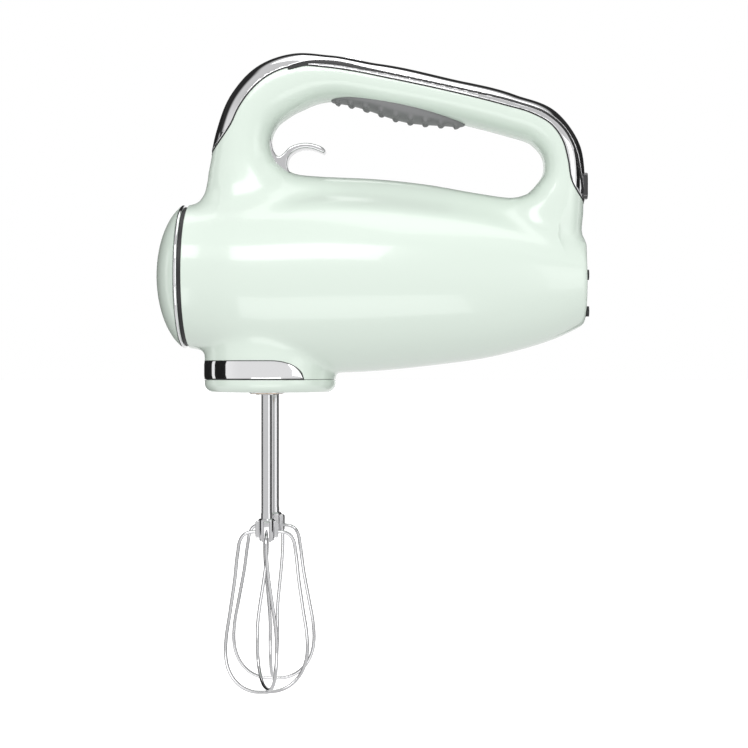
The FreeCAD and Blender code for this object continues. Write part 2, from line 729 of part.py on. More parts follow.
def worm_wheel(sign):
    """A worm wheel: helical teeth, set so that the middle of a gap faces the worm's thread."""
    teeth = int(size("wheel_teeth"))
    pitch_r = size(WHEEL_PITCH_R)
    root, tip = pitch_r - size("dedendum"), pitch_r + size("addendum")
    halves = ((root, tooth_half(size("dedendum"))), (tip, tooth_half(-size("addendum"))))
    lead_angle = math.atan(size("worm_starts") * gear_module() / (2 * size("worm_pitch_r")))
    width = size("wheel_width")
    twist = width * math.tan(lead_angle) / pitch_r
    levels = []
    for level, turn in ((-width / 2, -twist / 2), (width / 2, twist / 2)):
        points = []
        for tooth in range(teeth):
            middle = 2 * math.pi * (tooth + 0.5) / teeth + turn + math.pi / 2
            for radius, reach in halves:
                angle = middle - reach / radius
                points.append(Vector(radius * math.cos(angle), radius * math.sin(angle), level))
            for radius, reach in reversed(halves):
                angle = middle + reach / radius
                points.append(Vector(radius * math.cos(angle), radius * math.sin(angle), level))
        levels.append(points)
    blank = skinned(levels)
    bore = Part.makeCylinder(size("spindle_r"), width, Vector(0, 0, -width / 2))
    made = blank.cut(bore)
    if sign > 0:
        made.rotate(Vector(), Vector(0, 0, 1), 180)
    made.translate(Vector(0, sign * size("beater_gap") / 2, size(MOTOR_Z)))
    return made


def make_stator():
    piece = ring("stator_r", "armature_r + air_gap", "stator_length", "stator_x", 0, MOTOR_Z, "x")
    flats = [
        box("stator_length", "80", "20", "stator_x", "-40", f"{MOTOR_Z} + stator_r - 4"),
        box("stator_length", "80", "20", "stator_x", "-40", f"{MOTOR_Z} - stator_r + 4 - 20"),
    ]
    node("motor_stator", cut(piece, *flats))
    coils = []
    for x in ("stator_x - 7", "stator_x + stator_length"):
        coil = ring("stator_r - 5", "armature_r + air_gap + 1", "7", x, 0, MOTOR_Z, "x")
        coils.append(coil)
    node("field_coils", *coils)
    inner = "(stator_r + fit_gap)"
    arms = []
    start = "(frame_rear + bearing_width)"
    for low in (inner, f"-{inner} - 3"):
        arms.append(box(f"bracket_x + bearing_width - {start}", "3", "9", start, low, f"{MOTOR_Z} - 4.5"))
    cross = box("bearing_width", f"2 * {inner} + 6", "20", "bracket_x", f"-{inner} - 3", f"{MOTOR_Z} - 10")
    seat = cylinder("bearing_r", "bearing_width", "bracket_x", 0, MOTOR_Z, "x")
    node("motor_bracket", cut(fuse(cross, *arms), seat))
    holders, brushes = [], []
    x = "(commutator_x + commutator_length / 2)"
    near = "(commutator_r + 1)"
    for sign in (-1, 1):
        y = near if sign > 0 else f"-{near} - 16"
        tube = box("brush_side + 3", "16", "brush_side + 3", f"{x} - brush_side / 2 - 1.5", y,
                   f"{MOTOR_Z} - brush_side / 2 - 1.5")
        hole = box("brush_side", "16", "brush_side", f"{x} - brush_side / 2", y,
                   f"{MOTOR_Z} - brush_side / 2")
        holders.append(cut(tube, hole))
        y = "(commutator_r + 0.15)" if sign > 0 else "(-commutator_r - 0.15 - 12)"
        brushes.append(box("brush_side - 0.2", "12", "brush_side - 0.2",
                           f"{x} - brush_side / 2 + 0.1", y, f"{MOTOR_Z} - brush_side / 2 + 0.1"))
    node("brush_holders", *holders)
    node("carbon_brushes", *brushes)


def make_spindles():
    for side, sign in SIDES.items():
        y = f"{sign} * beater_gap / 2"
        length = f"{SPINDLE_TOP} - spindle_low"
        node(f"spindle_{side}", ring("spindle_r", "beater_r + beater_fit", length, 0, y, "spindle_low"))
        node(f"worm_wheel_{side}", shaped(worm_wheel(sign)))
        pin_low = "(beater_seat + touch_gap)"
        pin = cylinder("eject_pin_r", f"{HEAD_LOW} - {pin_low}", 0, y, pin_low)
        head = cylinder("eject_head_r", "yoke_thick", 0, y, HEAD_LOW)
        node(f"eject_pin_{side}", fuse(pin, head))
        room = size("eject_lift") - 0.5
        foot = Vector(0, sign * size("beater_gap") / 2, size(SPINDLE_TOP) + 0.25)
        coil = spring(4.0, 0.45, room, 3, foot)
        node(f"eject_spring_{side}", shaped(coil))


def spring(radius, wire, height, turns, foot):
    """A compression spring between two levels, lofted through circles half a turn at a time."""
    rise = height - 2 * wire
    steps = 16 * turns
    slope = rise / (2 * math.pi * turns)
    sections = []
    for step in range(steps + 1):
        turn = 2 * math.pi * step / 16
        spot = Vector(radius * math.cos(turn), radius * math.sin(turn), wire + rise * step / steps)
        ahead = Vector(-radius * math.sin(turn), radius * math.cos(turn), slope)
        sections.append(Part.Wire(Part.Circle(foot + spot, ahead, wire).toShape()))
    halves = [Part.makeLoft(sections[i : i + 9], True, True) for i in range(0, steps, 8)]
    return halves[0].fuse(halves[1:])


def make_ejector():
    """The yoke over both pins, with a post under the trigger's inner arm."""
    reach_x = f"(pivot_x + {ARM_TIP[0]})"
    plate = box(f"7 - {reach_x} + 4", "beater_gap + 12", "yoke_thick", f"{reach_x} - 4",
                "-beater_gap / 2 - 6", YOKE_LOW)
    post_top = f"({PIVOT_Z} + {ARM_TIP[1]} - {ARM_TIP[2]} - touch_gap)"
    post = box("10", "8", f"{post_top} - {YOKE_LOW}", f"{reach_x} - 3", "-4", YOKE_LOW)
    node("eject_yoke", fuse(plate, post))
    pin_length = "(trigger_width + 18)"
    node("trigger_pin", cylinder("pivot_r", pin_length, "pivot_x", f"-{pin_length} / 2", PIVOT_Z, "y"))
    coil = spring(2.6, 0.4, 5.0, 4, Vector())
    coil.rotate(Vector(), Vector(1, 0, 0), -90)
    coil.translate(Vector(size("pivot_x"), size("trigger_width") / 2 + 0.4, size(PIVOT_Z)))
    node("trigger_spring", shaped(coil))
    blank = shaped(trigger_form())
    node("eject_trigger", cut(blank, cylinder("pivot_r + run_gap", "40", "pivot_x", "-20", PIVOT_Z, "y")))


def trigger_form():
    """The hook, its root round the pivot and the inner arm, as one flat lever."""
    pivot = Vector(size("pivot_x"), 0, size(PIVOT_Z))
    half = size("trigger_width") / 2

    def near(x, z):
        return pivot + Vector(x, 0, z)

    over = spline([near(2.6, 19.8), near(3.0, 15.2), near(6.7, 11.4), near(11.0, 14.6),
                   near(14.6, 17.1), near(19.3, 18.4), near(25.9, 17.4), near(29.8, 15.6)])
    tip = Part.Arc(near(29.8, 15.6), near(30.4, 14.4), near(29.4, 13.5)).toShape()
    under = spline([near(29.4, 13.5), near(24.4, 15.4), near(19.3, 16.1), near(14.6, 14.8),
                    near(11.6, 12.0), near(10.7, 8.2), near(12.2, 4.4), near(14.8, 1.9)])
    corners = [near(14.8, 1.9), near(10.0, -4.0), near(0.0, -4.0), near(-4.0, 0.0), near(-2.0, 18.0),
               near(2.6, 19.8)]
    edges = [over, tip, under] + [Part.makeLine(a, b) for a, b in zip(corners, corners[1:])]
    made = slab(edges, half)
    arm_half = 3.0
    end = near(ARM_TIP[0], ARM_TIP[1])
    along = (end - pivot).normalize()
    across = Vector(-along.z, 0, along.x) * ARM_TIP[2]
    strip = [pivot + across, end + across, end - across, pivot - across, pivot + across]
    arm = slab([Part.makeLine(a, b) for a, b in zip(strip, strip[1:])], arm_half)
    nose = Part.makeCylinder(ARM_TIP[2], 2 * arm_half, end - Vector(0, arm_half, 0), Vector(0, 1, 0))
    return made.fuse([arm, nose])


def make_handle_fittings():
    handle = handle_form(0.0)
    node("grip_pad", shaped(grip_pad(handle)))
    thumb = slider_block(size("slider_length"), size("slider_width"), -4.5, 1.3)
    node("speed_slider", shaped(thumb))
    module = slider_block(16.0, 11.0, -12.5, -5.0)
    node("switch_module", shaped(module))
    board = Part.makeBox(52.0, 15.0, 1.6, Vector(-26.0, -7.5, -0.8))
    board.rotate(Vector(), Vector(0, 1, 0), 11.5)
    share, rise = 0.657, 0.798
    board.translate(Vector(size("seam_x") + share * size("body_length"), 0,
                           size(AXIS_Z) + rise * size("handle_rise")))
    node("control_board", shaped(board))
    gap = size("fit_gap")
    tall, wide = size("lens_height"), size("lens_width")
    corner = Vector(size(HEEL_X) - 2.5, -wide / 2, size(LENS_Z) - tall / 2)
    node("display_lens", shaped(Part.makeBox(2.5 + 1.1, wide, tall, corner)))
    corner = Vector(size(HEEL_X) - 2.5 - gap - 7.0, -wide / 2 + 1.0, size(LENS_Z) - tall / 2)
    node("display_module", shaped(Part.makeBox(7.0, wide - 2.0, tall, corner)))


def grip_pad(handle):
    """The rubber pad under the handle: a bowed slab that stands proud of the handle's underside."""
    stations = HANDLE_SECTIONS[4:7]
    half = size("handle_thick") / 2
    low, top = [], []
    for share, rise, slope, thick, _ in stations:
        x = size("seam_x") + share * size("body_length")
        z = size(AXIS_Z) + rise * size("handle_rise")
        low.append(Vector(x, 0, z - thick * half))
        top.append(Vector(x, 0, z - 0.55 * thick * half))
    start, mid, end = low
    start, end = start + Vector(9.0, 0, -0.2), end + Vector(10.5, 0, -1.9)
    proud = Vector(0, 0, -size("pad_drop"))
    inner = [mid + Vector(-9.0, 0, 1.0) + proud, mid + Vector(10.0, 0, -3.0) + proud]
    bottom = spline([start, inner[0], inner[1], end])
    corners = [end, top[2] + Vector(6.0, 0, 0), top[1], top[0] + Vector(11.0, 0, 0), start]
    edges = [bottom] + [Part.makeLine(a, b) for a, b in zip(corners, corners[1:])]
    return largest(slab(edges, size("pad_width") / 2).cut(handle))


def make_heel():
    plate = shaped(heel_form("heel_r", "heel_thick"))
    flange_x = f"{HEEL_X} - heel_thick - 1.6 - fit_gap"
    flange = cylinder("heel_r + 0.1", "1.6 + fit_gap", flange_x, 0, AXIS_Z, "x")
    hole = cylinder("gland_r", "20", f"{HEEL_X} - 10", 0, GLAND_Z, "x")
    node("heel_plate", cut(fuse(plate, flange), hole))
    body = cylinder("gland_r", "8", f"{HEEL_X} - 7.4", 0, GLAND_Z, "x")
    bore = cylinder("gland_bore", "8", f"{HEEL_X} - 7.4", 0, GLAND_Z, "x")
    node("cord_gland", cut(body, bore))
    feet = []
    for y in (-1, 1):
        for z in (-1, 1):
            feet.append(cylinder("foot_r", "foot_proud", HEEL_X, f"{y} * foot_spread",
                                 f"{GLAND_Z} + {z} * foot_spread", "x"))
    node("heel_feet", *feet)


def make_beaters():
    for side, sign in SIDES.items():
        y = f"{sign} * beater_gap / 2"
        low = "(hub_top - hub_height + 1)"
        node(f"beater_shaft_{side}", cylinder("beater_r", f"beater_seat - {low}", 0, y, low))
        turn = TWIST_TOP + HUB_TURN[side]
        hub = cylinder("hub_r", "hub_height", 0, y, "hub_top - hub_height")
        arms = [shaped(hub_arm(sign, turn + 90.0 * k)) for k in range(4)]
        node(f"beater_hub_{side}", cut(fuse(hub, *arms), cylinder("beater_r", "40", 0, y, low)))
        loops = [shaped(whisk_loop(sign, HUB_TURN[side] + 90.0 * k, k)) for k in range(2)]
        node(f"beater_wires_{side}", *loops)


def hub_arm(sign, turn):
    reach, wide, tall = size("arm_reach"), size("arm_width"), size("hub_height")
    arm = Part.makeBox(reach, wide, tall, Vector(0, -wide / 2, size("hub_top") - tall))
    arm.rotate(Vector(), Vector(0, 0, 1), turn)
    arm.translate(Vector(0, sign * size("beater_gap") / 2, 0))
    return arm


def whisk_loop(sign, turn, level):
    """One wire from a hub arm round to the opposite arm; the second loop passes above the first."""
    drop = size("whisk_drop") - level * (2 * size("wire_r") + 0.1)
    top = size("hub_top") - 0.55 * size("hub_height")
    axis = Vector(0, sign * size("beater_gap") / 2, top)

    def half(extra):
        points = []
        for depth, reach in WIRE_OUTLINE:
            blend = min(1.0, max(0.0, (depth - 0.05) / 0.6))
            angle = math.radians(turn + extra + TWIST_TOP + (TWIST_LOW - TWIST_TOP) * blend)
            r = reach * size("whisk_r")
            if depth == 0.0 and reach < 0.3:
                r = size("arm_reach")
            points.append(axis + Vector(r * math.cos(angle), r * math.sin(angle), -depth * drop))
        return points

    route = half(0.0) + [axis + Vector(0, 0, -drop)] + list(reversed(half(180.0)))
    path = Part.BSplineCurve()
    path.interpolate(Points=route)
    count = 60
    sections = []
    for i in range(count + 1):
        spot = path.parameterAtDistance(path.length() * i / count)
        circle = Part.Circle(path.value(spot), Vector(*path.tangent(spot)[0]), size("wire_r"))
        sections.append(Part.Wire(circle.toShape()))
    return Part.makeLoft(sections, True, True)


def write_parts():
    doc.recompute()
    for obj in doc.Objects:
        if {"Invalid", "Error"} & set(obj.State):
            raise RuntimeError(f"{obj.Label} did not build: {obj.State}")
    os.makedirs("parts", exist_ok=True)
    for name in os.listdir("parts"):
        os.remove(os.path.join("parts", name))
    for obj in nodes:
        shape = obj.Shape
        if shape.isNull() or not shape.isValid() or not shape.Solids:
            raise RuntimeError(f"{obj.Label} has no valid solid")
        shape.exportStep(f"parts/{obj.Label}.step")
        print(f"{obj.Label:24s} {len(shape.Solids)} solids {shape.Volume:10.1f} mm3")


probe = doc.addObject("App::FeaturePython", "probe")
fill_sheet()
make_housing()
make_nose()
make_collar()
make_gear_frame()
make_shaft_bearings()
make_rotor()
make_stator()
make_spindles()
make_ejector()
make_handle_fittings()
make_heel()
make_beaters()
write_parts()
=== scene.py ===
import json
import math

import bmesh
import bpy
import numpy as np
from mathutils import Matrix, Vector
from mathutils.geometry import tessellate_polygon


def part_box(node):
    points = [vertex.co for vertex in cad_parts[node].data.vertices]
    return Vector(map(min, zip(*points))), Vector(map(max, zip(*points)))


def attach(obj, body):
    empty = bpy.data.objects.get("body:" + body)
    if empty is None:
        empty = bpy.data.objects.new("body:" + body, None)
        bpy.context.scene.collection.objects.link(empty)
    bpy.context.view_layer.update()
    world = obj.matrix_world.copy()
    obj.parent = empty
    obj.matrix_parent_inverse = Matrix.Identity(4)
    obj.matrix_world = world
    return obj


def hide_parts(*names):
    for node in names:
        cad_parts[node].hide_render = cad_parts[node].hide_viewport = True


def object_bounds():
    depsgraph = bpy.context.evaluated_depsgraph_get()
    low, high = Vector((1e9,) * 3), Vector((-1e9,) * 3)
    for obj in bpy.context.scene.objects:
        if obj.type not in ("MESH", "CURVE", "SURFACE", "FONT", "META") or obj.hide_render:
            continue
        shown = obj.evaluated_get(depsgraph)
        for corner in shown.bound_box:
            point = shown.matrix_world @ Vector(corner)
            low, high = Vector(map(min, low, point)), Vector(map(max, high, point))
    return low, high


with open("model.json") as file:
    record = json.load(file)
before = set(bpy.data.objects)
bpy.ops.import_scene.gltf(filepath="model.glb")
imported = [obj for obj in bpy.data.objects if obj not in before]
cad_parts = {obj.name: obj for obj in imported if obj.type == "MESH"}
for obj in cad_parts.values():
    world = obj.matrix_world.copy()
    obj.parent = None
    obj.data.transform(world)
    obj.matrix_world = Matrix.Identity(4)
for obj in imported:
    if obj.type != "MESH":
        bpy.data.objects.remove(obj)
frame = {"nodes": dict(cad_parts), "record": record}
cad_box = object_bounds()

# Lengths are millimetres in the design frame: X runs along the body from the beater plane, and Z
# is up from the collar's underside. GRIP is the row's origin in that frame.
GRIP = np.array((70.0, 0.0, 152.5))
MM = 0.001

NOSE_Z = 58.9  # axis of the nose cap and its rings
NOSE_R = 36.5
SEAM_X = -41.0  # front edge of the housing
HEEL_X = 160.0
COLLAR_R = 33.4
COLLAR_SEAM_Z = 6.6  # between the collar's base and the housing
BEATER_Y = 20.0  # each beater's axis from the middle plane
SIDES = {"left": -1, "right": 1}
SHELL_SPLIT = 0.06  # half of the gap between the two shells
TRIM_LOW_Z = 90.0  # no trim lies below this
SECTION_POWER = 2.25  # how square the handle's section is; 2 is an ellipse
HANDLE_BLEND, RIDGE_BLEND, COLLAR_BLEND = 9.0, 8.0, 4.5  # how widely each runs into the body
PAD_ENDS = (31.5, 102.0)  # x of the grip pad's two ends
PAD_NUBS = 9  # in each row
NUB_PITCH = 7.85
WHISK_TOP = -69.6  # where the wires leave the hub
WHISK_DROP = 80.6  # from there to the bottom of the wire's outline
WHISK_LOW = 80.25  # what the lower loop's outline is scaled to
LOOP_GAP = 1.8  # the upper loop of each beater ends this much higher
WIRE_R = 0.85
HUB_TWIST, WIRE_TWIST = 4.0, 14.6  # degrees: the hub's arms, and the wires beyond them
BEATER_TURN = {"left": 0.0, "right": -18.6}  # degrees between the two beaters, so they interleave

# Body sections: x, centre z, half height, half width.
BODY = (
    (-56.0, 58.9, 36.5, 36.5),
    (-41.0, 58.9, 36.5, 36.5),
    (-10.0, 55.3, 43.1, 42.5),
    (30.0, 55.7, 45.8, 45.0),
    (80.0, 55.6, 42.3, 41.5),
    (120.0, 55.2, 35.6, 34.5),
    (150.0, 54.9, 25.6, 25.5),
    (164.0, 55.6, 19.0, 19.8),
)
# Handle stations: outer edge x, z, then inner edge x, z, then half width.
HANDLE = (
    (-39.5, 74.0, 30.0, 62.0, 28.0),
    (-37.6, 90.0, 19.5, 90.0, 23.0),
    (-34.6, 101.0, 12.0, 105.0, 18.8),
    (-31.0, 113.0, 3.8, 117.5, 16.9),
    (-27.4, 130.0, 1.0, 129.5, 16.4),
    (-21.5, 146.5, 6.4, 141.2, 16.4),
    (-11.8, 158.6, 16.0, 147.6, 16.4),
    (4.0, 166.9, 26.0, 149.6, 16.6),
    (25.5, 169.8, 35.0, 149.2, 16.8),
    (56.0, 166.3, 52.0, 145.6, 17.0),
    (92.8, 158.4, 88.0, 138.6, 17.0),
    (125.0, 150.2, 118.0, 131.0, 16.8),
    (146.5, 140.6, 132.0, 126.6, 16.4),
    (157.2, 125.0, 138.6, 118.4, 16.2),
    (159.8, 109.0, 138.4, 109.0, 16.4),
    (160.0, 94.0, 131.0, 97.5, 17.0),
    (160.2, 78.0, 118.0, 84.0, 16.0),
    (160.4, 60.0, 114.0, 60.0, 14.0),
)
# Top of the ridge under the hand opening: x, z.
RIDGE = (
    (-16.0, 108.0),
    (2.0, 110.6),
    (31.0, 109.6),
    (56.0, 108.3),
    (80.0, 105.6),
    (105.0, 101.2),
    (122.0, 98.6),
    (146.0, 97.0),
)
RIDGE_WIDTH = 17.0
RIDGE_HEIGHT = 24.0

# Lower edge of the bright trim in the side view, from its front end over the top to its rear end.
TRIM_EDGE = (
    (-34.0, 117.5),
    (-29.2, 122.2),
    (-24.5, 127.5),
    (-19.3, 134.6),
    (-14.8, 143.7),
    (-8.8, 152.0),
    (-1.4, 158.6),
    (6.1, 162.4),
    (15.1, 164.4),
    (28.6, 163.5),
    (43.5, 161.3),
    (58.5, 158.2),
    (88.4, 151.7),
    (118.3, 144.2),
    (133.3, 139.6),
    (142.2, 134.4),
    (148.3, 125.7),
    (150.8, 116.7),
    (152.9, 105.6),
    (160.2, 95.6),
    (165.0, 91.5),
)
# Upper edge of the lower bright band, where the seam divides the trim; the black strip in the seam
# is painted shade.
SEAM_LINE = (
    (11.0, 163.4),
    (20.0, 165.6),
    (32.0, 165.4),
    (50.2, 161.9),
    (73.4, 157.0),
    (103.4, 150.3),
    (125.8, 144.7),
    (139.3, 139.7),
    (148.6, 131.8),
    (153.2, 123.8),
    (156.6, 110.0),
    (158.4, 99.0),
)


# --- curves and fields ---


def curve(knots, values):
    """Smooth line through values at the knots, in cubic pieces."""
    knots = np.asarray(knots, float)
    values = np.asarray(values, float)
    if values.ndim == 1:
        values = values[:, None]
    slopes = np.gradient(values, knots, axis=0)

    def at(where):
        where = np.clip(np.asarray(where, float), knots[0], knots[-1])
        i = np.clip(np.searchsorted(knots, where) - 1, 0, len(knots) - 2)
        step = (knots[i + 1] - knots[i])[..., None]
        u = (where - knots[i])[..., None] / step
        start = (1 + 2 * u) * (1 - u) ** 2 * values[i] + u * (1 - u) ** 2 * step * slopes[i]
        end = u * u * (3 - 2 * u) * values[i + 1] + u * u * (u - 1) * step * slopes[i + 1]
        return start + end

    return at


def along(points, count):
    """Evenly spaced points on the smooth line through a list of points."""
    points = np.asarray(points, float)
    lengths = np.linalg.norm(np.diff(points[:, :2], axis=0), axis=1)
    knots = np.concatenate(([0.0], np.cumsum(lengths)))
    line = curve(knots, points)
    return line(np.linspace(0, knots[-1], count))


def joined(a, b, soft):
    """Union of two fields with a rounded inner corner."""
    mix = np.maximum(soft - np.abs(a - b), 0.0) / soft
    return np.minimum(a, b) - mix**3 * soft / 6.0


def cropped(a, b, soft):
    """What both fields hold, with a rounded outer edge."""
    return -joined(-a, -b, soft)


body_at = curve([s[0] for s in BODY], [s[1:] for s in BODY])
ridge_at = curve([s[0] for s in RIDGE], [s[1] for s in RIDGE])
handle_samples = along([((a + c) / 2, (b + d) / 2, a, b, c, d, w) for a, b, c, d, w in HANDLE], 420)
HANDLE_MID = handle_samples[:, :2]
HANDLE_HALF = np.linalg.norm(handle_samples[:, 2:4] - handle_samples[:, 4:6], axis=1) / 2
HANDLE_WIDE = handle_samples[:, 6]
HANDLE_TICKS = np.arange(len(HANDLE_MID))
handle_step = np.linalg.norm(HANDLE_MID[1] - HANDLE_MID[0])
HANDLE_AHEAD = np.gradient(HANDLE_MID, axis=0)
HANDLE_AHEAD /= np.linalg.norm(HANDLE_AHEAD, axis=1)[:, None]


def nearest(line, x, z):
    """Index of the nearest point on a line in the side view, for each x, z."""
    spots = np.stack([x.ravel(), z.ravel()], 1)
    found = np.empty(len(spots), int)
    for start in range(0, len(spots), 20000):
        part = spots[start : start + 20000]
        across, up = (part[:, None, i] - line[None, :, i] for i in (0, 1))
        found[start : start + 20000] = (across**2 + up**2).argmin(1)
    return found.reshape(x.shape)


def body_field(x, y, z):
    """The torpedo body, with its heel cut flat."""
    rise, tall, wide = np.moveaxis(body_at(x), -1, 0)
    round_form = (np.sqrt((y / wide) ** 2 + ((z - rise) / tall) ** 2) - 1) * np.minimum(tall, wide)
    return cropped(round_form, x - HEEL_X, 4.0)


def handle_field(x, y, z):
    """The handle loop, a rounded section carried along its middle line."""
    x, z = np.broadcast_arrays(x, z)
    i = nearest(HANDLE_MID, x, z)
    ahead = HANDLE_AHEAD[i]
    dx, dz = x - HANDLE_MID[i, 0], z - HANDLE_MID[i, 1]
    further = dx * ahead[..., 0] + dz * ahead[..., 1]
    off = dz * ahead[..., 0] - dx * ahead[..., 1]
    free_spot = i + further / handle_step
    spot = np.clip(free_spot, 0, HANDLE_TICKS[-1])
    half = np.interp(spot, HANDLE_TICKS, HANDLE_HALF)
    wide = np.interp(spot, HANDLE_TICKS, HANDLE_WIDE)
    beyond = np.abs(free_spot - spot) * handle_step
    off = np.hypot(off, beyond)
    power = SECTION_POWER
    oval = ((off / half) ** power + (np.abs(y) / wide) ** power) ** (1 / power)
    return (oval - 1) * np.minimum(half, wide)


def ridge_field(x, y, z):
    """The narrow ridge under the hand opening, with both ends inside the handle's feet."""
    top = ridge_at(x)[..., 0]
    oval = np.sqrt((y / RIDGE_WIDTH) ** 2 + ((z - top + RIDGE_HEIGHT) / RIDGE_HEIGHT) ** 2)
    form = (oval - 1) * RIDGE_WIDTH
    middle, reach = 62.0, 82.0
    return np.maximum(form, np.abs(x - middle) - reach)


def collar_field(x, y, z):
    """The round collar, with its top inside the body."""
    inside_body = 40.0
    return np.maximum(np.hypot(x, y) - COLLAR_R, z - inside_body)


def shell_field(x, y, z):
    """The whole outer form: negative inside."""
    form = joined(body_field(x, y, z), handle_field(x, y, z), HANDLE_BLEND)
    form = joined(form, ridge_field(x, y, z), RIDGE_BLEND)
    form = joined(form, collar_field(x, y, z), COLLAR_BLEND)
    return cropped(form, x - HEEL_X - 0.5, 1.5)


def slopes(points, reach=0.02):
    """The field's slope at each point."""
    out = np.empty_like(points)
    for axis in range(3):
        shift = np.zeros(3)
        shift[axis] = reach
        high, low = points + shift, points - shift
        out[:, axis] = (shell_field(*high.T) - shell_field(*low.T)) / (2 * reach)
    return out


def settled(points, rounds=3):
    """The points moved on to the form's surface."""
    for _ in range(rounds):
        slope = slopes(points)
        steep = np.maximum((slope**2).sum(1), 0.05)
        points = points - slope * (shell_field(*points.T) / steep)[:, None]
    return points


def outward(points):
    """Unit normals of the form, smoothed over a small reach."""
    slope = slopes(points, 0.3)
    return slope / np.linalg.norm(slope, axis=1)[:, None]


# --- meshes of the form ---


def surface(low, high, step):
    """Triangles of the outer form inside a box, from one vertex in each crossed cell of a grid."""
    axes = [np.arange(a, b + step, step) for a, b in zip(low, high)]
    x, y, z = np.meshgrid(*axes, indexing="ij", sparse=True)
    d = shell_field(x, y, z)
    inside = d < 0
    cells = tuple(n - 1 for n in d.shape)
    hits = np.zeros(cells, int)
    total = np.zeros(cells + (3,))
    for axis in range(3):
        for side in ((0, 0), (0, 1), (1, 0), (1, 1)):
            start = [0, 0, 0]
            others = [a for a in range(3) if a != axis]
            start[others[0]], start[others[1]] = side
            first = tuple(slice(s, s + n) for s, n in zip(start, cells))
            start[axis] = 1
            second = tuple(slice(s, s + n) for s, n in zip(start, cells))
            crossed = inside[first] != inside[second]
            with np.errstate(divide="ignore", invalid="ignore"):
                share = np.where(crossed, d[first] / (d[first] - d[second]), 0.0)
            hits += crossed
            total[..., axis] += share
            total[..., others[0]] += crossed * side[0]
            total[..., others[1]] += crossed * side[1]
    used = hits > 0
    index = np.full(cells, -1)
    index[used] = np.arange(used.sum())
    corner = np.stack(np.nonzero(used), 1)
    points = (corner + total[used] / hits[used][:, None]) * step + np.array([a[0] for a in axes])
    quads = []
    for axis in range(3):
        b, c = [(1, 2), (2, 0), (0, 1)][axis]
        inner = [slice(1, n) for n in cells]
        inner[axis] = slice(0, cells[axis])
        ahead = list(inner)
        ahead[axis] = slice(1, cells[axis] + 1)
        start, end = inside[tuple(inner)], inside[tuple(ahead)]
        spots = np.stack(np.nonzero(start != end), 1)
        spots += [1 if a != axis else 0 for a in range(3)]
        flip = start[start != end]
        ring = []
        for db, dc in ((0, 0), (-1, 0), (-1, -1), (0, -1)):
            shifted = spots.copy()
            shifted[:, b] += db
            shifted[:, c] += dc
            ring.append(index[tuple(shifted.T)])
        ring = np.stack(ring, 1)
        ring[~flip] = ring[~flip][:, ::-1]
        quads.append(ring)
    quads = np.concatenate(quads)
    triangles = np.concatenate([quads[:, [0, 1, 2]], quads[:, [0, 2, 3]]])
    return settled(points), triangles


def sliced(mesh, values, level=0.0, both=False):
    """The mesh cut where values cross the level, and only what is below it unless both is true."""
    points, triangles = mesh
    values = values - level
    values = np.where(np.abs(values) < 0.04, 0.0, values)
    extra, cuts = [], {}

    def crossing(a, b):
        key = (a, b) if a < b else (b, a)
        if key not in cuts:
            first, second = key
            share = values[first] / (values[first] - values[second])
            cuts[key] = len(points) + len(extra)
            extra.append(points[first] + share * (points[second] - points[first]))
        return cuts[key]

    signs = np.sign(values)[triangles]
    mixed = (signs.min(1) < 0) & (signs.max(1) > 0)
    kept = list(triangles[~mixed & (both | (signs.max(1) <= 0) & (signs.min(1) < 0))])
    for triangle in triangles[mixed]:
        below, above = [], []
        for k in range(3):
            a, b = int(triangle[k]), int(triangle[(k + 1) % 3])
            if values[a] <= 0:
                below.append(a)
            if values[a] >= 0:
                above.append(a)
            if values[a] * values[b] < 0:
                spot = crossing(a, b)
                below.append(spot)
                above.append(spot)
        for loop in (below, above) if both else (below,):
            kept += [np.array((loop[0], loop[k], loop[k + 1])) for k in range(1, len(loop) - 1)]
    triangles = np.array(kept)
    if extra:
        points = np.concatenate([points, np.array(extra)])
    used, triangles = np.unique(triangles, return_inverse=True)
    return points[used], triangles.reshape(-1, 3)


def cropped_mesh(mesh, measure, rim=0.5):
    """What is below zero by a measure of x, y, z, with a row of points a rim's width inside."""
    mesh = sliced(mesh, measure(*mesh[0].T), -rim, both=True)
    return sliced(mesh, measure(*mesh[0].T))


def mirrored(mesh, weld):
    """The mesh's mirror image in the middle plane, or both halves as one if weld is true."""
    points, triangles = mesh
    flipped = points * (1, -1, 1)
    if not weld:
        return flipped, triangles[:, ::-1]
    middle = np.abs(points[:, 1]) < 0.05
    points = np.where(middle[:, None] & (np.arange(3) == 1), 0.0, points)
    target = np.where(middle, np.arange(len(points)), np.cumsum(~middle) - 1 + len(points))
    other = target[triangles][:, ::-1]
    return np.concatenate([points, flipped[~middle]]), np.concatenate([triangles, other])


def add_mesh(name, points, faces, material, normals=None):
    data = bpy.data.meshes.new(name)
    data.from_pydata(((np.asarray(points) - GRIP) * MM).tolist(), [], [list(f) for f in faces])
    data.validate()
    data.polygons.foreach_set("use_smooth", [True] * len(data.polygons))
    data.materials.append(material)
    if normals is not None:
        data.normals_split_custom_set(normals)
    piece = bpy.data.objects.new(name, data)
    bpy.context.scene.collection.objects.link(piece)
    return piece


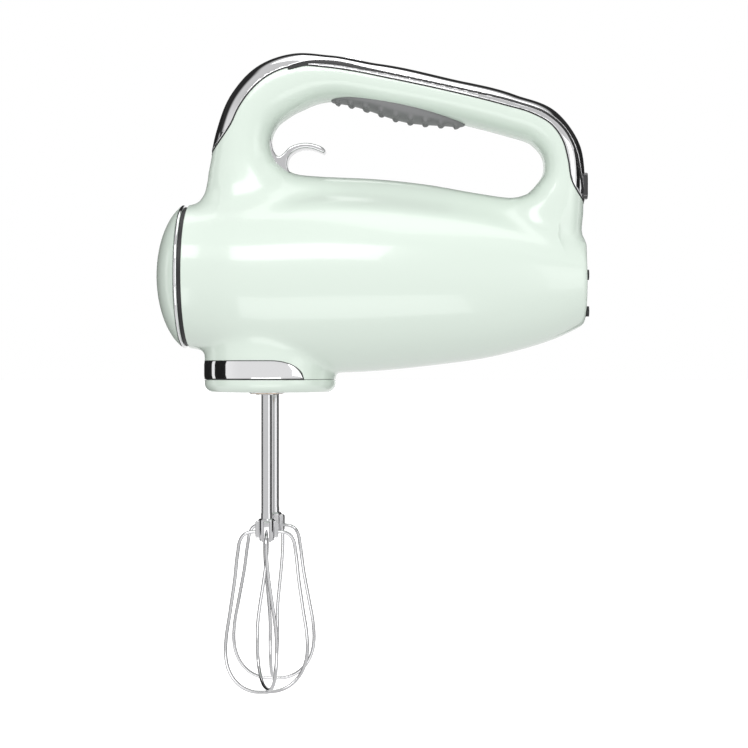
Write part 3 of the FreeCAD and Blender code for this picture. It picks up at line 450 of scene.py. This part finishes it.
def skin(name, mesh, material, lift=0.0, thick=1.6, lip=0.25):
    """A closed shell over part of the form, lifted off it and rounded over at its rim."""
    points, triangles = mesh
    points = settled(points, 2)
    normal = outward(points)
    edges = np.concatenate([triangles[:, [0, 1]], triangles[:, [1, 2]], triangles[:, [2, 0]]])
    key = np.sort(edges, 1)
    _, where, count = np.unique(key, axis=0, return_index=True, return_counts=True)
    rim = edges[where[count == 1]]
    on_rim = np.zeros(len(points), bool)
    on_rim[rim.ravel()] = True
    outer = points + normal * (lift - lip * on_rim)[:, None]
    inner = points + normal * (lift - thick)
    total = len(points)
    shading = normal.copy()
    away = np.zeros_like(points)
    run = points[rim[:, 1]] - points[rim[:, 0]]
    side = np.cross(run, normal[rim[:, 0]])
    np.add.at(away, rim[:, 0], side)
    np.add.at(away, rim[:, 1], side)
    away /= np.maximum(np.linalg.norm(away, axis=1), 1e-6)[:, None]
    shading[on_rim] += away[on_rim] * 0.9
    shading /= np.linalg.norm(shading, axis=1)[:, None]
    walls = [(b, a, a + total, b + total) for a, b in rim]
    faces = list(triangles) + list(triangles[:, ::-1] + total) + walls
    loops = list(shading[triangles.ravel()]) + list(-normal[triangles[:, ::-1].ravel()])
    for a, b in rim:
        loops += [away[b], away[a], away[a], away[b]]
    everything = np.concatenate([outer, inner])
    return add_mesh(name, everything, faces, material, [tuple(v) for v in loops])


# --- turned, swept and cut pieces ---


def turned(name, outline, material, axis="z", centre=(0, 0, 0), count=128):
    """A closed outline of (radius, height) points turned about an axis; sharp corners are kept."""
    points, faces = [], []
    total = len(outline)
    for k in range(count):
        angle = 2 * math.pi * k / count
        for radius, height in outline:
            a, b = radius * math.cos(angle), radius * math.sin(angle)
            points.append((height, a, b) if axis == "x" else (a, b, height))
    for k in range(count):
        for i in range(total):
            j, n = (i + 1) % total, (k + 1) % count
            faces.append((k * total + i, k * total + j, n * total + j, n * total + i))
    piece = add_mesh(name, np.array(points) + centre, faces, material)
    tidy_mesh(piece)
    sharpen(piece, 35)
    return piece


def tidy_mesh(piece):
    """Merges points on the axis and turns all faces outward."""
    work = bmesh.new()
    work.from_mesh(piece.data)
    bmesh.ops.remove_doubles(work, verts=work.verts, dist=1e-6)
    bmesh.ops.dissolve_degenerate(work, edges=work.edges, dist=1e-7)
    bmesh.ops.recalc_face_normals(work, faces=work.faces)
    work.to_mesh(piece.data)
    work.free()


def sharpen(piece, degrees):
    piece.data.set_sharp_from_angle(angle=math.radians(degrees))


def arc(cx, cy, radius, start, end, count=8):
    """Points on an arc, by degrees."""
    spots = np.radians(np.linspace(start, end, count))
    return [(cx + radius * math.cos(a), cy + radius * math.sin(a)) for a in spots]


def ring_faces(rings, count, capped):
    """Faces between rings of count points each, and over both ends if capped is true."""
    faces = []
    for k in range(rings - 1):
        for i in range(count):
            j = (i + 1) % count
            faces.append((k * count + i, k * count + j, (k + 1) * count + j, (k + 1) * count + i))
    if capped:
        faces.append(tuple(reversed(range(count))))
        faces.append(tuple(range((rings - 1) * count, rings * count)))
    return faces


def tube(name, route, radius, material, sides=14):
    """A round wire along a list of points, closed at both ends."""
    route = np.asarray(route, float)
    ahead = np.gradient(route, axis=0)
    ahead /= np.linalg.norm(ahead, axis=1)[:, None]
    side = np.cross(ahead[0], (0.3, 0.9, 0.1))
    points = []
    turns = np.linspace(0, 2 * math.pi, sides, endpoint=False)
    for spot, way in zip(route, ahead):
        side = side - way * side.dot(way)
        side /= np.linalg.norm(side)
        other = np.cross(way, side)
        points += [spot + radius * (math.cos(t) * side + math.sin(t) * other) for t in turns]
    return add_mesh(name, points, ring_faces(len(route), sides, capped=True), material)


def plate(name, outline, half, bevel, material):
    """A flat outline in the side view, as thick as twice half, with rounded edges."""
    flat = np.asarray(outline, float)
    if np.sum(flat[:, 0] * np.roll(flat[:, 1], -1) - np.roll(flat[:, 0], -1) * flat[:, 1]) < 0:
        flat = flat[::-1]
    ahead = np.roll(flat, -1, 0) - flat
    ahead /= np.linalg.norm(ahead, axis=1)[:, None]
    mean = ahead + np.roll(ahead, 1, 0)
    mean /= np.linalg.norm(mean, axis=1)[:, None]
    inward = np.stack([-mean[:, 1], mean[:, 0]], 1)
    quarter = np.radians(np.linspace(90, 0, 5))
    levels = [(-half + bevel * (1 - math.sin(t)), bevel * (1 - math.cos(t))) for t in quarter]
    levels += [(-y, inset) for y, inset in reversed(levels)]
    points = []
    for y, inset in levels:
        points += [(x, y, z) for x, z in flat + inward * inset]
    faces = ring_faces(len(levels), len(flat), capped=False)
    cap = tessellate_polygon([[Vector((x, z, 0)) for x, z in flat + inward * bevel]])
    last = (len(levels) - 1) * len(flat)
    faces += [tuple(t) for t in cap] + [tuple(last + i for i in reversed(t)) for t in cap]
    piece = add_mesh(name, points, faces, material)
    tidy_mesh(piece)
    sharpen(piece, 40)
    return piece


def closed_strip(name, points, length, across, look):
    """A strip with two layers of (length + 1) by (across + 1) points, closed round its edges."""
    faces = []
    row = across + 1
    layer = (length + 1) * row
    for k in range(length):
        for i in range(across):
            a = k * row + i
            faces.append((a, a + 1, a + row + 1, a + row))
            faces.append((layer + a, layer + a + row, layer + a + row + 1, layer + a + 1))
        a, b = k * row, k * row + across
        faces.append((a, a + row, layer + a + row, layer + a))
        faces.append((b, layer + b, layer + b + row, b + row))
    for k in (0, length):
        for i in range(across):
            a = k * row + i
            quad = (a, layer + a, layer + a + 1, a + 1)
            faces.append(quad if k == 0 else quad[::-1])
    strip = add_mesh(name, points, faces, look)
    tidy_mesh(strip)
    return strip


def merged(name, *pieces):
    """Several meshes as one object."""
    bpy.ops.object.select_all(action="DESELECT")
    for piece in pieces:
        piece.select_set(True)
    bpy.context.view_layer.objects.active = pieces[0]
    bpy.ops.object.join()
    pieces[0].name = name
    return pieces[0]


def settle(piece, body, slot, *nodes):
    """Puts a piece on its body, in place of the CAD nodes that it shows; slot is not used."""
    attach(piece, body)
    if nodes:
        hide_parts(*nodes)


# --- materials ---


def material(name, color, rough, metal=0.0, coat=0.0, grain=0.0, grain_scale=400.0, patchy=0.0):
    """A surface with fine grain in its height and slow patches in its roughness."""
    made = bpy.data.materials.new(name)
    made.use_nodes = True
    tree = made.node_tree
    shader = tree.nodes["Principled BSDF"]
    shader.inputs["Base Color"].default_value = (*color, 1)
    shader.inputs["Metallic"].default_value = metal
    shader.inputs["Roughness"].default_value = rough
    shader.inputs["Coat Weight"].default_value = coat
    shader.inputs["Coat Roughness"].default_value = 0.04
    place = tree.nodes.new("ShaderNodeTexCoord")
    if grain:
        noise = tree.nodes.new("ShaderNodeTexNoise")
        noise.inputs["Scale"].default_value = grain_scale
        noise.inputs["Detail"].default_value = 3.0
        bump = tree.nodes.new("ShaderNodeBump")
        bump.inputs["Strength"].default_value = grain
        bump.inputs["Distance"].default_value = 0.0002
        tree.links.new(place.outputs["Object"], noise.inputs["Vector"])
        tree.links.new(noise.outputs["Fac"], bump.inputs["Height"])
        tree.links.new(bump.outputs["Normal"], shader.inputs["Normal"])
    if patchy:
        cloud = tree.nodes.new("ShaderNodeTexNoise")
        cloud.inputs["Scale"].default_value = 28.0
        spread = tree.nodes.new("ShaderNodeMapRange")
        spread.inputs["To Min"].default_value = max(rough - patchy, 0.01)
        spread.inputs["To Max"].default_value = rough + patchy
        tree.links.new(place.outputs["Object"], cloud.inputs["Vector"])
        tree.links.new(cloud.outputs["Fac"], spread.inputs["Value"])
        tree.links.new(spread.outputs["Result"], shader.inputs["Roughness"])
    return made


pastel = material("pastel_green", (0.70, 0.793, 0.714), 0.25, coat=0.5, patchy=0.02)
chrome = material("chrome", (0.80, 0.80, 0.81), 0.06, metal=1.0, patchy=0.02)
rubber = material(
    "grip_rubber", (0.20, 0.20, 0.205), 0.55, grain=0.35, grain_scale=900, patchy=0.05
)
# Also the colour of the black strips along the trim, in its seam, round the collar band and in the
# collar seam, which are painted shade.
black = material("dark_rubber", (0.012, 0.012, 0.013), 0.5, grain=0.2, patchy=0.05)
moulded = material("inner_plastic", (0.07, 0.07, 0.075), 0.45, grain=0.3, patchy=0.06)
cast = material("cast_metal", (0.55, 0.56, 0.57), 0.42, metal=1.0, grain=0.5, patchy=0.08)
bronze = material("bearing_bronze", (0.60, 0.40, 0.20), 0.35, metal=1.0, grain=0.2, patchy=0.06)
steel = material("shaft_steel", (0.55, 0.56, 0.58), 0.22, metal=1.0, grain=0.1, patchy=0.05)
hook_chrome = material("trigger_chrome", (0.58, 0.58, 0.59), 0.08, metal=1.0, patchy=0.02)
wire_steel = material("beater_steel", (0.60, 0.60, 0.61), 0.10, metal=1.0, patchy=0.03)
acetal = material("gear_plastic", (0.80, 0.77, 0.68), 0.38, grain=0.15, patchy=0.05)
laminate = material("core_steel", (0.12, 0.12, 0.13), 0.45, metal=0.6, grain=0.6, patchy=0.08)
copper = material("winding_copper", (0.60, 0.24, 0.10), 0.35, metal=0.9, grain=0.8, patchy=0.08)
carbon = material("brush_carbon", (0.02, 0.02, 0.02), 0.6, grain=0.4, patchy=0.05)
board = material("board_green", (0.03, 0.16, 0.07), 0.35, grain=0.2, patchy=0.05)
lens = material("lens_black", (0.006, 0.006, 0.008), 0.05, coat=1.0, patchy=0.01)

NODE_LOOKS = {
    "inner_plastic": moulded,
    "frame_metal": cast,
    "bearing_bronze": bronze,
    "shaft_steel": steel,
    "spring_steel": steel,
    "gear_plastic": acetal,
    "core_steel": laminate,
    "winding_copper": copper,
    "brush_carbon": carbon,
    "board_green": board,
    "screw_steel": steel,
    "dark_rubber": black,
    "lens_black": lens,
    "beater_chrome": wire_steel,
    "shell_plastic": pastel,
    "bright_trim": chrome,
    "grip_rubber": rubber,
}


def paint_nodes():
    """Every CAD node gets the look of its own slot."""
    for part in frame["record"]["subparts"]:
        node = frame["nodes"][part["node"]]
        node.data.materials.clear()
        node.data.materials.append(NODE_LOOKS[part["material_slot"]])


# --- the pieces ---


def above(line, x, z):
    """Signed distance in the side view from a line that runs from the nose to the heel."""
    line = np.asarray(line)
    ahead = np.gradient(line, axis=0)
    ahead /= np.linalg.norm(ahead, axis=1)[:, None]
    i = nearest(line, x, z)
    dx, dz = x - line[i, 0], z - line[i, 1]
    return dz * ahead[i, 0] - dx * ahead[i, 1]


def make_shell():
    """Both housing shells, and the bright trim over the handle with black strips beside it and in
    its seam, which are painted shade of the gaps.
    """
    step = 1.25
    form = surface((-46.0, -2.0 * step, 2.0), (164.0, 47.0, 176.0), step)
    half = sliced(form, -form[0][:, 1])
    trim_line = along(TRIM_EDGE, 400)
    body = cropped_mesh(half, lambda x, y, z: SEAM_X - x)
    body = cropped_mesh(body, lambda x, y, z: COLLAR_SEAM_Z - z)
    body = cropped_mesh(body, lambda x, y, z: SHELL_SPLIT - y, rim=0.3)
    for side, sign in SIDES.items():
        mesh = body if sign > 0 else mirrored(body, weld=False)
        settle(skin(f"shell_{side}", mesh, pastel), "housing", "shell_plastic", f"housing_{side}")
    upper = sliced(half, TRIM_LOW_Z - half[0][:, 2])
    whole = mirrored(upper, weld=True)
    seam = along(SEAM_LINE, 400)

    def below_trim(x, y, z):
        return -above(trim_line, x, z)

    def from_seam(x, y, z):
        """Below zero within the seam's black strip, painted shade of the seam, which is widest over
        the front of the grip.
        """
        width = 0.6 + 0.6 * np.exp(-(((x - 34.0) / 17.0) ** 2))
        ends = np.maximum(seam[0, 0] - x, 100.0 - z)
        return np.maximum(np.abs(above(seam, x, z)) - width, ends)

    trim = cropped_mesh(whole, below_trim)
    cover = cropped_mesh(trim, lambda x, y, z: -from_seam(x, y, z), rim=0.25)
    piece = skin("trim_cover", cover, chrome, lift=0.45, thick=1.2, lip=0.22)
    settle(piece, "housing", "bright_trim", "handle_trim")
    shown, hidden = 0.7, 2.2  # the width of the black strip of painted shade along the trim's edge, beyond the trim's edge and under it
    # A black strip along the trim's edges: painted shade of the gap between the trim and the shell.
    seal_and_edge_shade = sliced(whole, below_trim(*whole[0].T), shown)
    seal_and_edge_shade = sliced(seal_and_edge_shade, -below_trim(*seal_and_edge_shade[0].T), hidden)
    settle(skin("trim_edge_shade", seal_and_edge_shade, black, lift=0.16, thick=1.0, lip=0.0), "housing", "dark_rubber")
    # A black strip in the seam between the two bright bands: painted shade of the seam.
    dark = sliced(whole, from_seam(*whole[0].T), 0.8)
    settle(skin("trim_seam_shade", dark, black, lift=0.28, thick=1.0, lip=0.0), "housing", "dark_rubber")


def make_nose():
    """The nose cap, the bright ring behind it and the dark gasket behind that."""
    tip, rim = -57.6, -45.2
    radius = NOSE_R - 0.7
    spread = 66  # degrees of a quarter ellipse that the cap takes up
    full, flat = math.sin(math.radians(spread)), math.cos(math.radians(spread))
    outer = []
    for angle in np.radians(np.linspace(0, spread, 26)):
        share = (math.cos(angle) - flat) / (1 - flat)
        outer.append((radius * math.sin(angle) / full, rim - (rim - tip) * share))
    inner = [(max(r - 2.4, 0.0), x + 2.4) for r, x in reversed(outer[:-2])]
    outline = outer + [(radius - 0.5, rim + 0.4), (radius - 2.2, rim + 0.4)] + inner
    centre = (0, 0, NOSE_Z)
    cap = turned("nose_cover", outline, pastel, "x", centre)
    settle(cap, "housing", "shell_plastic", "nose_cap")
    ring_r = NOSE_R + 0.1
    bead = arc(ring_r - 0.9, -43.9, 0.9, 100, -80, 9)
    ring = bead + [(ring_r - 3, -43.0), (ring_r - 3, -44.8)]
    settle(turned("nose_bead", ring, chrome, "x", centre), "housing", "bright_trim", "nose_ring")
    r = NOSE_R - 1.1
    seal_and_edge_shade = [(r, -43.0), (r, -40.7), (r - 3, -40.7), (r - 3, -43.0)]
    settle(turned("nose_seal", seal_and_edge_shade, black, "x", centre), "housing", "dark_rubber", "nose_gasket")


def make_collar():
    """The collar's base with the two spindle eyes under it, and the bright band round its front;
    black strips in the collar seam and round the band are painted shade.
    """
    r, top, round_r = COLLAR_R, 6.35, 4.6
    outline = [(r - 0.25, top), (r, top - 0.3)]
    outline += arc(r - round_r, round_r, round_r, 0, -90, 12)
    outline += [(28.0, 0.0), (27.4, 0.5), (26.6, 0.5), (26.0, 0.0), (0.0, 0.0), (0.0, 2.4)]
    outline += [(r - 2.6, 2.4), (r - 2.6, top)]
    base = turned("collar_foot", outline, pastel, "z")
    rings = []
    for sign in SIDES.values():
        eye = [(8.6, -0.35), (8.9, -0.1), (8.9, 0.2), (5.6, 0.2), (5.6, -0.1), (5.9, -0.35)]
        rings.append(turned("eye", eye, chrome, "z", (0, sign * BEATER_Y, 0), 48))
    settle(base, "housing", "shell_plastic", "collar_base")
    settle(merged("spindle_eyes", *rings), "housing", "bright_trim")
    # A black ring inside the seam between the collar's base and the housing: painted shade of the
    # gap.
    gap = [(r - 0.8, 7.2), (r - 0.8, 6.0), (r - 3, 6.0), (r - 3, 7.2)]
    settle(turned("collar_gap_shade", gap, black, "z"), "housing", "dark_rubber")
    band = make_band("collar_strip", 0.0, COLLAR_R + 0.4, chrome)
    settle(band, "housing", "bright_trim", "collar_band")
    # A black band just wider than the bright band and under it: painted shade along the bright
    # band's edges.
    settle(make_band("collar_band_shade", 0.4, COLLAR_R + 0.12, black), "housing", "dark_rubber")


def make_band(name, margin, outside, look):
    """A strip round the front of the collar that tapers to a point behind each side."""
    low, high = 7.0 - margin, 15.6 + margin
    reach = 18.4 + 2 * margin
    start = 2.5
    end_angle = math.acos(-reach / COLLAR_R)
    count, rows = 150, 6
    points = []
    for layer, r in enumerate((outside, COLLAR_R - 0.6)):
        for k in range(count + 1):
            angle = end_angle * (2 * k / count - 1)
            x, y = -COLLAR_R * math.cos(angle), COLLAR_R * math.sin(angle)
            drop = max(0.0, (x - start) / (reach - start))
            top = low + (high - low) * math.sqrt(max(0.0, 1 - drop**2.2)) + 0.02
            for i in range(rows + 1):
                share = i / rows
                edge = 0.25 if layer == 0 and i in (0, rows) and not margin else 0.0
                scale = (r - edge) / COLLAR_R
                points.append((x * scale, y * scale, low + (top - low) * share))
    band = closed_strip(name, points, count, rows, look)
    sharpen(band, 50)
    return band


def handle_point(spot, turn, lift):
    """A point on the handle: spot along it, turn from its underside in radians, and lift off it."""
    mid = np.array([np.interp(spot, HANDLE_TICKS, HANDLE_MID[:, k]) for k in range(2)])
    way = np.array([np.interp(spot, HANDLE_TICKS, HANDLE_AHEAD[:, k]) for k in range(2)])
    half = np.interp(spot, HANDLE_TICKS, HANDLE_HALF)
    wide = np.interp(spot, HANDLE_TICKS, HANDLE_WIDE)
    power = 2 / SECTION_POWER
    c, s = math.cos(turn), math.sin(turn)
    down = abs(c) ** power * math.copysign(1, c) * half
    side = abs(s) ** power * math.copysign(1, s) * wide
    normal = np.array((c / half, s / wide))
    normal /= np.linalg.norm(normal)
    down, side = down + lift * normal[0], side + lift * normal[1]
    below = np.array((way[1], -way[0]))
    x, z = mid + below * down
    return (x, side, z)


def make_pad():
    """The grip pad: a rubber strip under the handle with three rows of nubs."""
    upper = HANDLE_MID[:, 1] >= 130
    ends = [int(np.argmin(np.abs(HANDLE_MID[:, 0] - x) + 200 * ~upper)) for x in PAD_ENDS]
    length, across = 220, 48
    points = []
    for layer in range(2):
        for k in range(length + 1):
            u = k / length
            spot = ends[0] + (ends[1] - ends[0]) * u
            reach = math.radians(44 - 8 * u) * (math.sin(math.pi * u) ** 0.5 * 0.9 + 0.1)
            for i in range(across + 1):
                v = 2 * i / across - 1
                lift = pad_height(u, v, reach) if layer == 0 else -1.2
                points.append(handle_point(spot, v * reach, lift))
    pad = closed_strip("grip_rubber_pad", points, length, across, rubber)
    settle(pad, "housing", "grip_rubber", "grip_pad")


def pad_height(u, v, reach):
    """How far the pad stands off the handle, at u along it and v across it."""
    edge = min(1.0, (1 - abs(v)) * 5.0) * min(1.0, u * 14, (1 - u) * 14)
    swell = 0.9 + 3.7 * math.exp(-(((u - 0.60) / 0.30) ** 2)) * (1 - 0.6 * abs(v) ** 3)
    height = swell * math.sqrt(max(0.0, 1 - (1 - edge) ** 2))
    section_r = 15  # of the handle's underside, near enough
    for row in (-0.62, 0.0, 0.62):
        phase = (u * PAD_NUBS) % 1.0 - 0.5
        far = math.hypot(phase * NUB_PITCH, (v - row) * reach * section_r)
        height += 1.4 * math.exp(-((far / 1.5) ** 4)) * edge
    return height


def make_trigger():
    """The bright eject trigger: a curled hook on a broad root."""
    over = [(0.6, 129.0), (1.2, 125.4), (2.2, 122.3), (4.6, 119.8), (7.2, 121.4), (9.9, 124.2)]
    over += [(14.0, 126.0), (19.1, 126.6), (24.0, 125.6), (27.5, 123.9), (28.5, 122.7)]
    under = [(27.6, 121.4), (25.0, 122.5), (21.0, 123.8), (16.5, 123.9), (12.5, 122.3)]
    under += [(9.7, 119.6), (8.9, 116.0), (9.8, 112.6), (13.2, 109.2)]
    root = [(10.0, 105.5), (0.0, 105.0), (-3.0, 110.0), (-2.5, 122.0), (-1.0, 128.0)]
    outline = list(along(over, 46)) + list(along(under, 40)) + root
    hook = plate("trigger_hook", [tuple(p) for p in outline], 5.4, 0.85, hook_chrome)
    settle(hook, "eject_trigger", "bright_trim", "eject_trigger")


def make_slider():
    """The speed slider: a low bright thumb piece with grip ribs across it."""
    low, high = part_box("speed_slider")
    centre = (np.array(low) + np.array(high)) / 2 / MM + GRIP
    foot_z = 168.9
    outline = []
    half_length, lift = 6.4, 1.05
    for k in range(29):
        u = 2 * k / 28 - 1
        rib = 0.28 * max(0.0, math.cos(u * 5 * math.pi)) if abs(u) < 0.75 else 0.0
        outline.append((u * half_length, lift * (1 - abs(u) ** 4) + rib))
    outline += [(half_length, -4.0), (-half_length, -4.0)]
    slope = math.radians(-9.7)  # the handle's, under the slider
    base = np.array((centre[0], foot_z))
    turn = np.array(((math.cos(slope), -math.sin(slope)), (math.sin(slope), math.cos(slope))))
    placed = [tuple(turn @ np.array(p) + base) for p in outline]
    thumb = plate("slider_thumb", placed[::-1], 3.9, 0.45, chrome)
    settle(thumb, "speed_slider", "bright_trim", "speed_slider")


def make_lens():
    """The display window: a glossy black pane with rounded corners and eased edges."""
    low, high = (np.array(v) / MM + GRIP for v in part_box("display_lens"))
    half_y, half_z = (high - low)[1] / 2, (high - low)[2] / 2
    middle = (low + high) / 2
    points, rounds = [], []
    r = 2.5
    for cy, cz, start in ((1, 1, 0), (-1, 1, 90), (-1, -1, 180), (1, -1, 270)):
        rounds += arc(cy * (half_y - r), cz * (half_z - r), r, start, start + 90, 7)
    layers = ((low[0], 1.0), (high[0] - 0.5, 1.0), (high[0] - 0.15, 0.97), (high[0], 0.9))
    for x, scale in layers:
        points += [(x, middle[1] + y * scale, middle[2] + z * scale) for y, z in rounds]
    faces = ring_faces(len(layers), len(rounds), capped=True)
    pane = add_mesh("display_pane", points, faces, lens)
    tidy_mesh(pane)
    sharpen(pane, 30)
    settle(pane, "housing", "lens_black", "display_lens")


def wire_route(turn, level):
    """One whisk wire, from a hub arm down, across under the axis, and up to the opposite arm."""
    profile = [(0.0, 4.0), (0.0, 6.5), (0.3, 9.0), (1.6, 11.6), (4.6, 13.4), (10.0, 14.4)]
    profile += [(24.0, 16.0), (40.0, 18.6), (52.0, 20.6), (60.0, 21.0), (67.0, 19.9), (73.0, 17.0)]
    profile += [(77.4, 12.6), (79.9, 7.2), (WHISK_DROP, 0.0)]
    profile = along(profile, 70)
    twist_start, twist_run = 4.0, 48.0
    profile[:, 0] *= (WHISK_LOW - level * LOOP_GAP) / WHISK_DROP
    route = []
    for side in (0, 180):
        half = []
        for depth, reach in profile:
            blend = min(1.0, max(0.0, (depth - twist_start) / twist_run))
            blend = blend * blend * (3 - 2 * blend)
            angle = math.radians(turn + side + HUB_TWIST + WIRE_TWIST * blend)
            half.append((reach * math.cos(angle), reach * math.sin(angle), WHISK_TOP - depth))
        route.append(half)
    return np.array(route[0] + route[1][-2::-1])


def make_beaters():
    """Both beaters: shaft, hub with four arms, and two looped wires that cross at the bottom."""
    for side, sign in SIDES.items():
        turn, body = BEATER_TURN[side], f"beater_{side}"
        centre = (0, sign * BEATER_Y, 0)
        shaft = [(0.0, 44.0), (1.6, 44.0), (2.7, 42.4), (2.7, 36.0), (2.2, 35.4), (2.2, 33.6)]
        shaft += [(2.7, 33.0), (2.7, -60.0), (2.9, -60.6), (2.9, -73.0), (2.2, -74.6), (0.0, -75.0)]
        rod = turned(f"beater_rod_{side}", shaft, wire_steel, "z", centre, 40)
        settle(rod, body, "beater_chrome", f"beater_shaft_{side}")
        parts = []
        sleeve = [(2.4, -62.9), (3.6, -62.9), (4.2, -63.6), (4.2, -72.2), (3.5, -73.9), (2.4, -73.9)]
        parts.append(turned("hub", sleeve, wire_steel, "z", centre, 40))
        for k in range(4):
            parts.append(hub_arm(centre, turn + HUB_TWIST + 90.0 * k))
        hub = merged(f"beater_spider_{side}", *parts)
        settle(hub, body, "beater_chrome", f"beater_hub_{side}")
        wires = []
        for k in range(2):
            route = wire_route(turn + 90.0 * k, k) + np.array(centre)
            wires.append(tube("wire", route, WIRE_R, wire_steel))
        whisk = merged(f"beater_whisk_{side}", *wires)
        settle(whisk, body, "beater_chrome", f"beater_wires_{side}")


def hub_arm(centre, turn):
    """One arm of the hub: it holds a wire's end, and tapers below it."""
    outline = [(3.0, -64.0), (5.0, -64.0), (5.7, -64.7), (5.7, -71.6), (5.0, -73.0), (3.0, -73.6)]
    arm = plate("arm", outline, 1.5, 0.4, wire_steel)
    c, s = math.cos(math.radians(turn)), math.sin(math.radians(turn))
    for v in arm.data.vertices:
        p = np.array(v.co) / MM + GRIP
        turned_point = np.array((p[0] * c - p[1] * s, p[0] * s + p[1] * c, p[2]))
        v.co = ((turned_point + centre - GRIP) * MM).tolist()
    return arm


# --- light and camera ---


def make_world():
    """White all round, with a dark band high up behind the object for the bright trim to mirror."""
    world = bpy.data.worlds.new("studio")
    bpy.context.scene.world = world
    world.use_nodes = True
    tree = world.node_tree
    sky = tree.nodes["Background"]
    place = tree.nodes.new("ShaderNodeTexCoord")
    split = tree.nodes.new("ShaderNodeSeparateXYZ")
    tree.links.new(place.outputs["Generated"], split.inputs["Vector"])

    def ramp(source, low, high):
        node = tree.nodes.new("ShaderNodeMapRange")
        node.interpolation_type = "SMOOTHSTEP"
        node.inputs["From Min"].default_value = low
        node.inputs["From Max"].default_value = high
        tree.links.new(source, node.inputs["Value"])
        return node.outputs["Result"]

    def product(a, b):
        node = tree.nodes.new("ShaderNodeMath")
        node.operation = "MULTIPLY"
        tree.links.new(a, node.inputs[0])
        tree.links.new(b, node.inputs[1])
        return node.outputs["Value"]

    def fade(share, least):
        """From 1 where share is 0 down to least where it is 1."""
        node = tree.nodes.new("ShaderNodeMapRange")
        node.inputs["To Min"].default_value = 1.0
        node.inputs["To Max"].default_value = least
        tree.links.new(share, node.inputs["Value"])
        return node.outputs["Result"]

    height, depth = split.outputs["Z"], split.outputs["Y"]
    band = product(ramp(height, 0.24, 0.34), ramp(height, 0.86, 0.74))
    overhead = fade(ramp(height, 0.2, 0.6), 0.70)
    behind = fade(product(band, ramp(depth, -0.05, 0.25)), 0.04)
    below = fade(ramp(height, -0.18, -0.5), 0.85)
    front = fade(ramp(depth, -0.2, -0.7), 0.90)
    strength = product(product(product(overhead, behind), below), front)
    tree.links.new(strength, sky.inputs["Strength"])
    sky.inputs["Color"].default_value = (1.0, 1.0, 1.0, 1)


def softbox(name, place, aim, size, power):
    """A rectangular lamp, by its place and aim in metres, its size and its watts."""
    light = bpy.data.lights.new(name, "AREA")
    light.shape = "RECTANGLE"
    light.size, light.size_y = size
    light.energy = power
    lamp = bpy.data.objects.new(name, light)
    bpy.context.scene.collection.objects.link(lamp)
    lamp.location = place
    lamp.rotation_euler = (Vector(aim) - Vector(place)).to_track_quat("-Z", "Y").to_euler()


def card(name, centre, aim, size):
    """A black card that only reflections see."""
    data = bpy.data.meshes.new(name)
    w, h = size[0] / 2, size[1] / 2
    data.from_pydata([(-w, -h, 0), (w, -h, 0), (w, h, 0), (-w, h, 0)], [], [(0, 1, 2, 3)])
    flag = material(name, (0.0, 0.0, 0.0), 0.9)
    data.materials.append(flag)
    piece = bpy.data.objects.new(name, data)
    bpy.context.scene.collection.objects.link(piece)
    piece.location = centre
    piece.rotation_euler = (Vector(aim) - Vector(centre)).to_track_quat("Z", "Y").to_euler()
    piece.visible_camera = False
    piece.visible_shadow = False
    piece.visible_diffuse = False


def make_stage():
    """The pale floor, four soft lights, black cards for the trim to mirror, and the camera."""
    low = cad_box[0][2] - 0.05  # metres from here on: room for the beaters when they are pulled
    wide = 30.0
    data = bpy.data.meshes.new("floor")
    corners = [(-wide, -wide, low), (wide, -wide, low), (wide, wide, low), (-wide, wide, low)]
    data.from_pydata(corners, [], [(0, 1, 2, 3)])
    white = material("floor_white", (0.9, 0.9, 0.9), 0.9, grain=0.05, grain_scale=60)
    shader = white.node_tree.nodes["Principled BSDF"]
    shader.inputs["Emission Color"].default_value = (1, 1, 1, 1)
    shader.inputs["Emission Strength"].default_value = 0.75
    data.materials.append(white)
    floor = bpy.data.objects.new("floor", data)
    bpy.context.scene.collection.objects.link(floor)
    floor.visible_diffuse = False
    floor.visible_glossy = False
    aim = (-0.01, 0, -0.08)
    softbox("key", (-0.25, -1.1, 0.75), aim, (0.9, 0.5), 6.2)
    softbox("top", (0.1, 0.1, 1.1), aim, (1.2, 0.8), 4.6)
    softbox("fill", (1.0, -0.8, 0.1), aim, (0.5, 0.9), 1.5)
    softbox("low", (-0.1, -1.0, -0.75), aim, (1.1, 0.6), 3.2)
    for side in (-1, 1):
        card("back_flag", (side * 0.60, 0.60, -0.15), (0, 0, -0.1), (0.70, 0.9))
        card("side_flag", (side * 1.05, 0.02, -0.1), (0, 0, -0.1), (0.50, 0.9))
    camera = bpy.data.cameras.new("camera")
    camera.lens = 84.0
    camera.sensor_width = 36.0
    view = bpy.data.objects.new("camera", camera)
    bpy.context.scene.collection.objects.link(view)
    eye = Vector(((81.5 - GRIP[0]) * MM, -0.890, (11.7 - GRIP[2]) * MM))
    target = Vector(((53.0 - GRIP[0]) * MM, 0.0, (9.2 - GRIP[2]) * MM))
    view.location = eye
    view.rotation_euler = (target - eye).to_track_quat("-Z", "Y").to_euler()
    bpy.context.scene.camera = view
    bpy.context.scene.view_settings.view_transform = "Standard"


paint_nodes()
make_shell()
make_nose()
make_collar()
make_pad()
make_trigger()
make_slider()
make_lens()
make_beaters()
make_world()
make_stage()
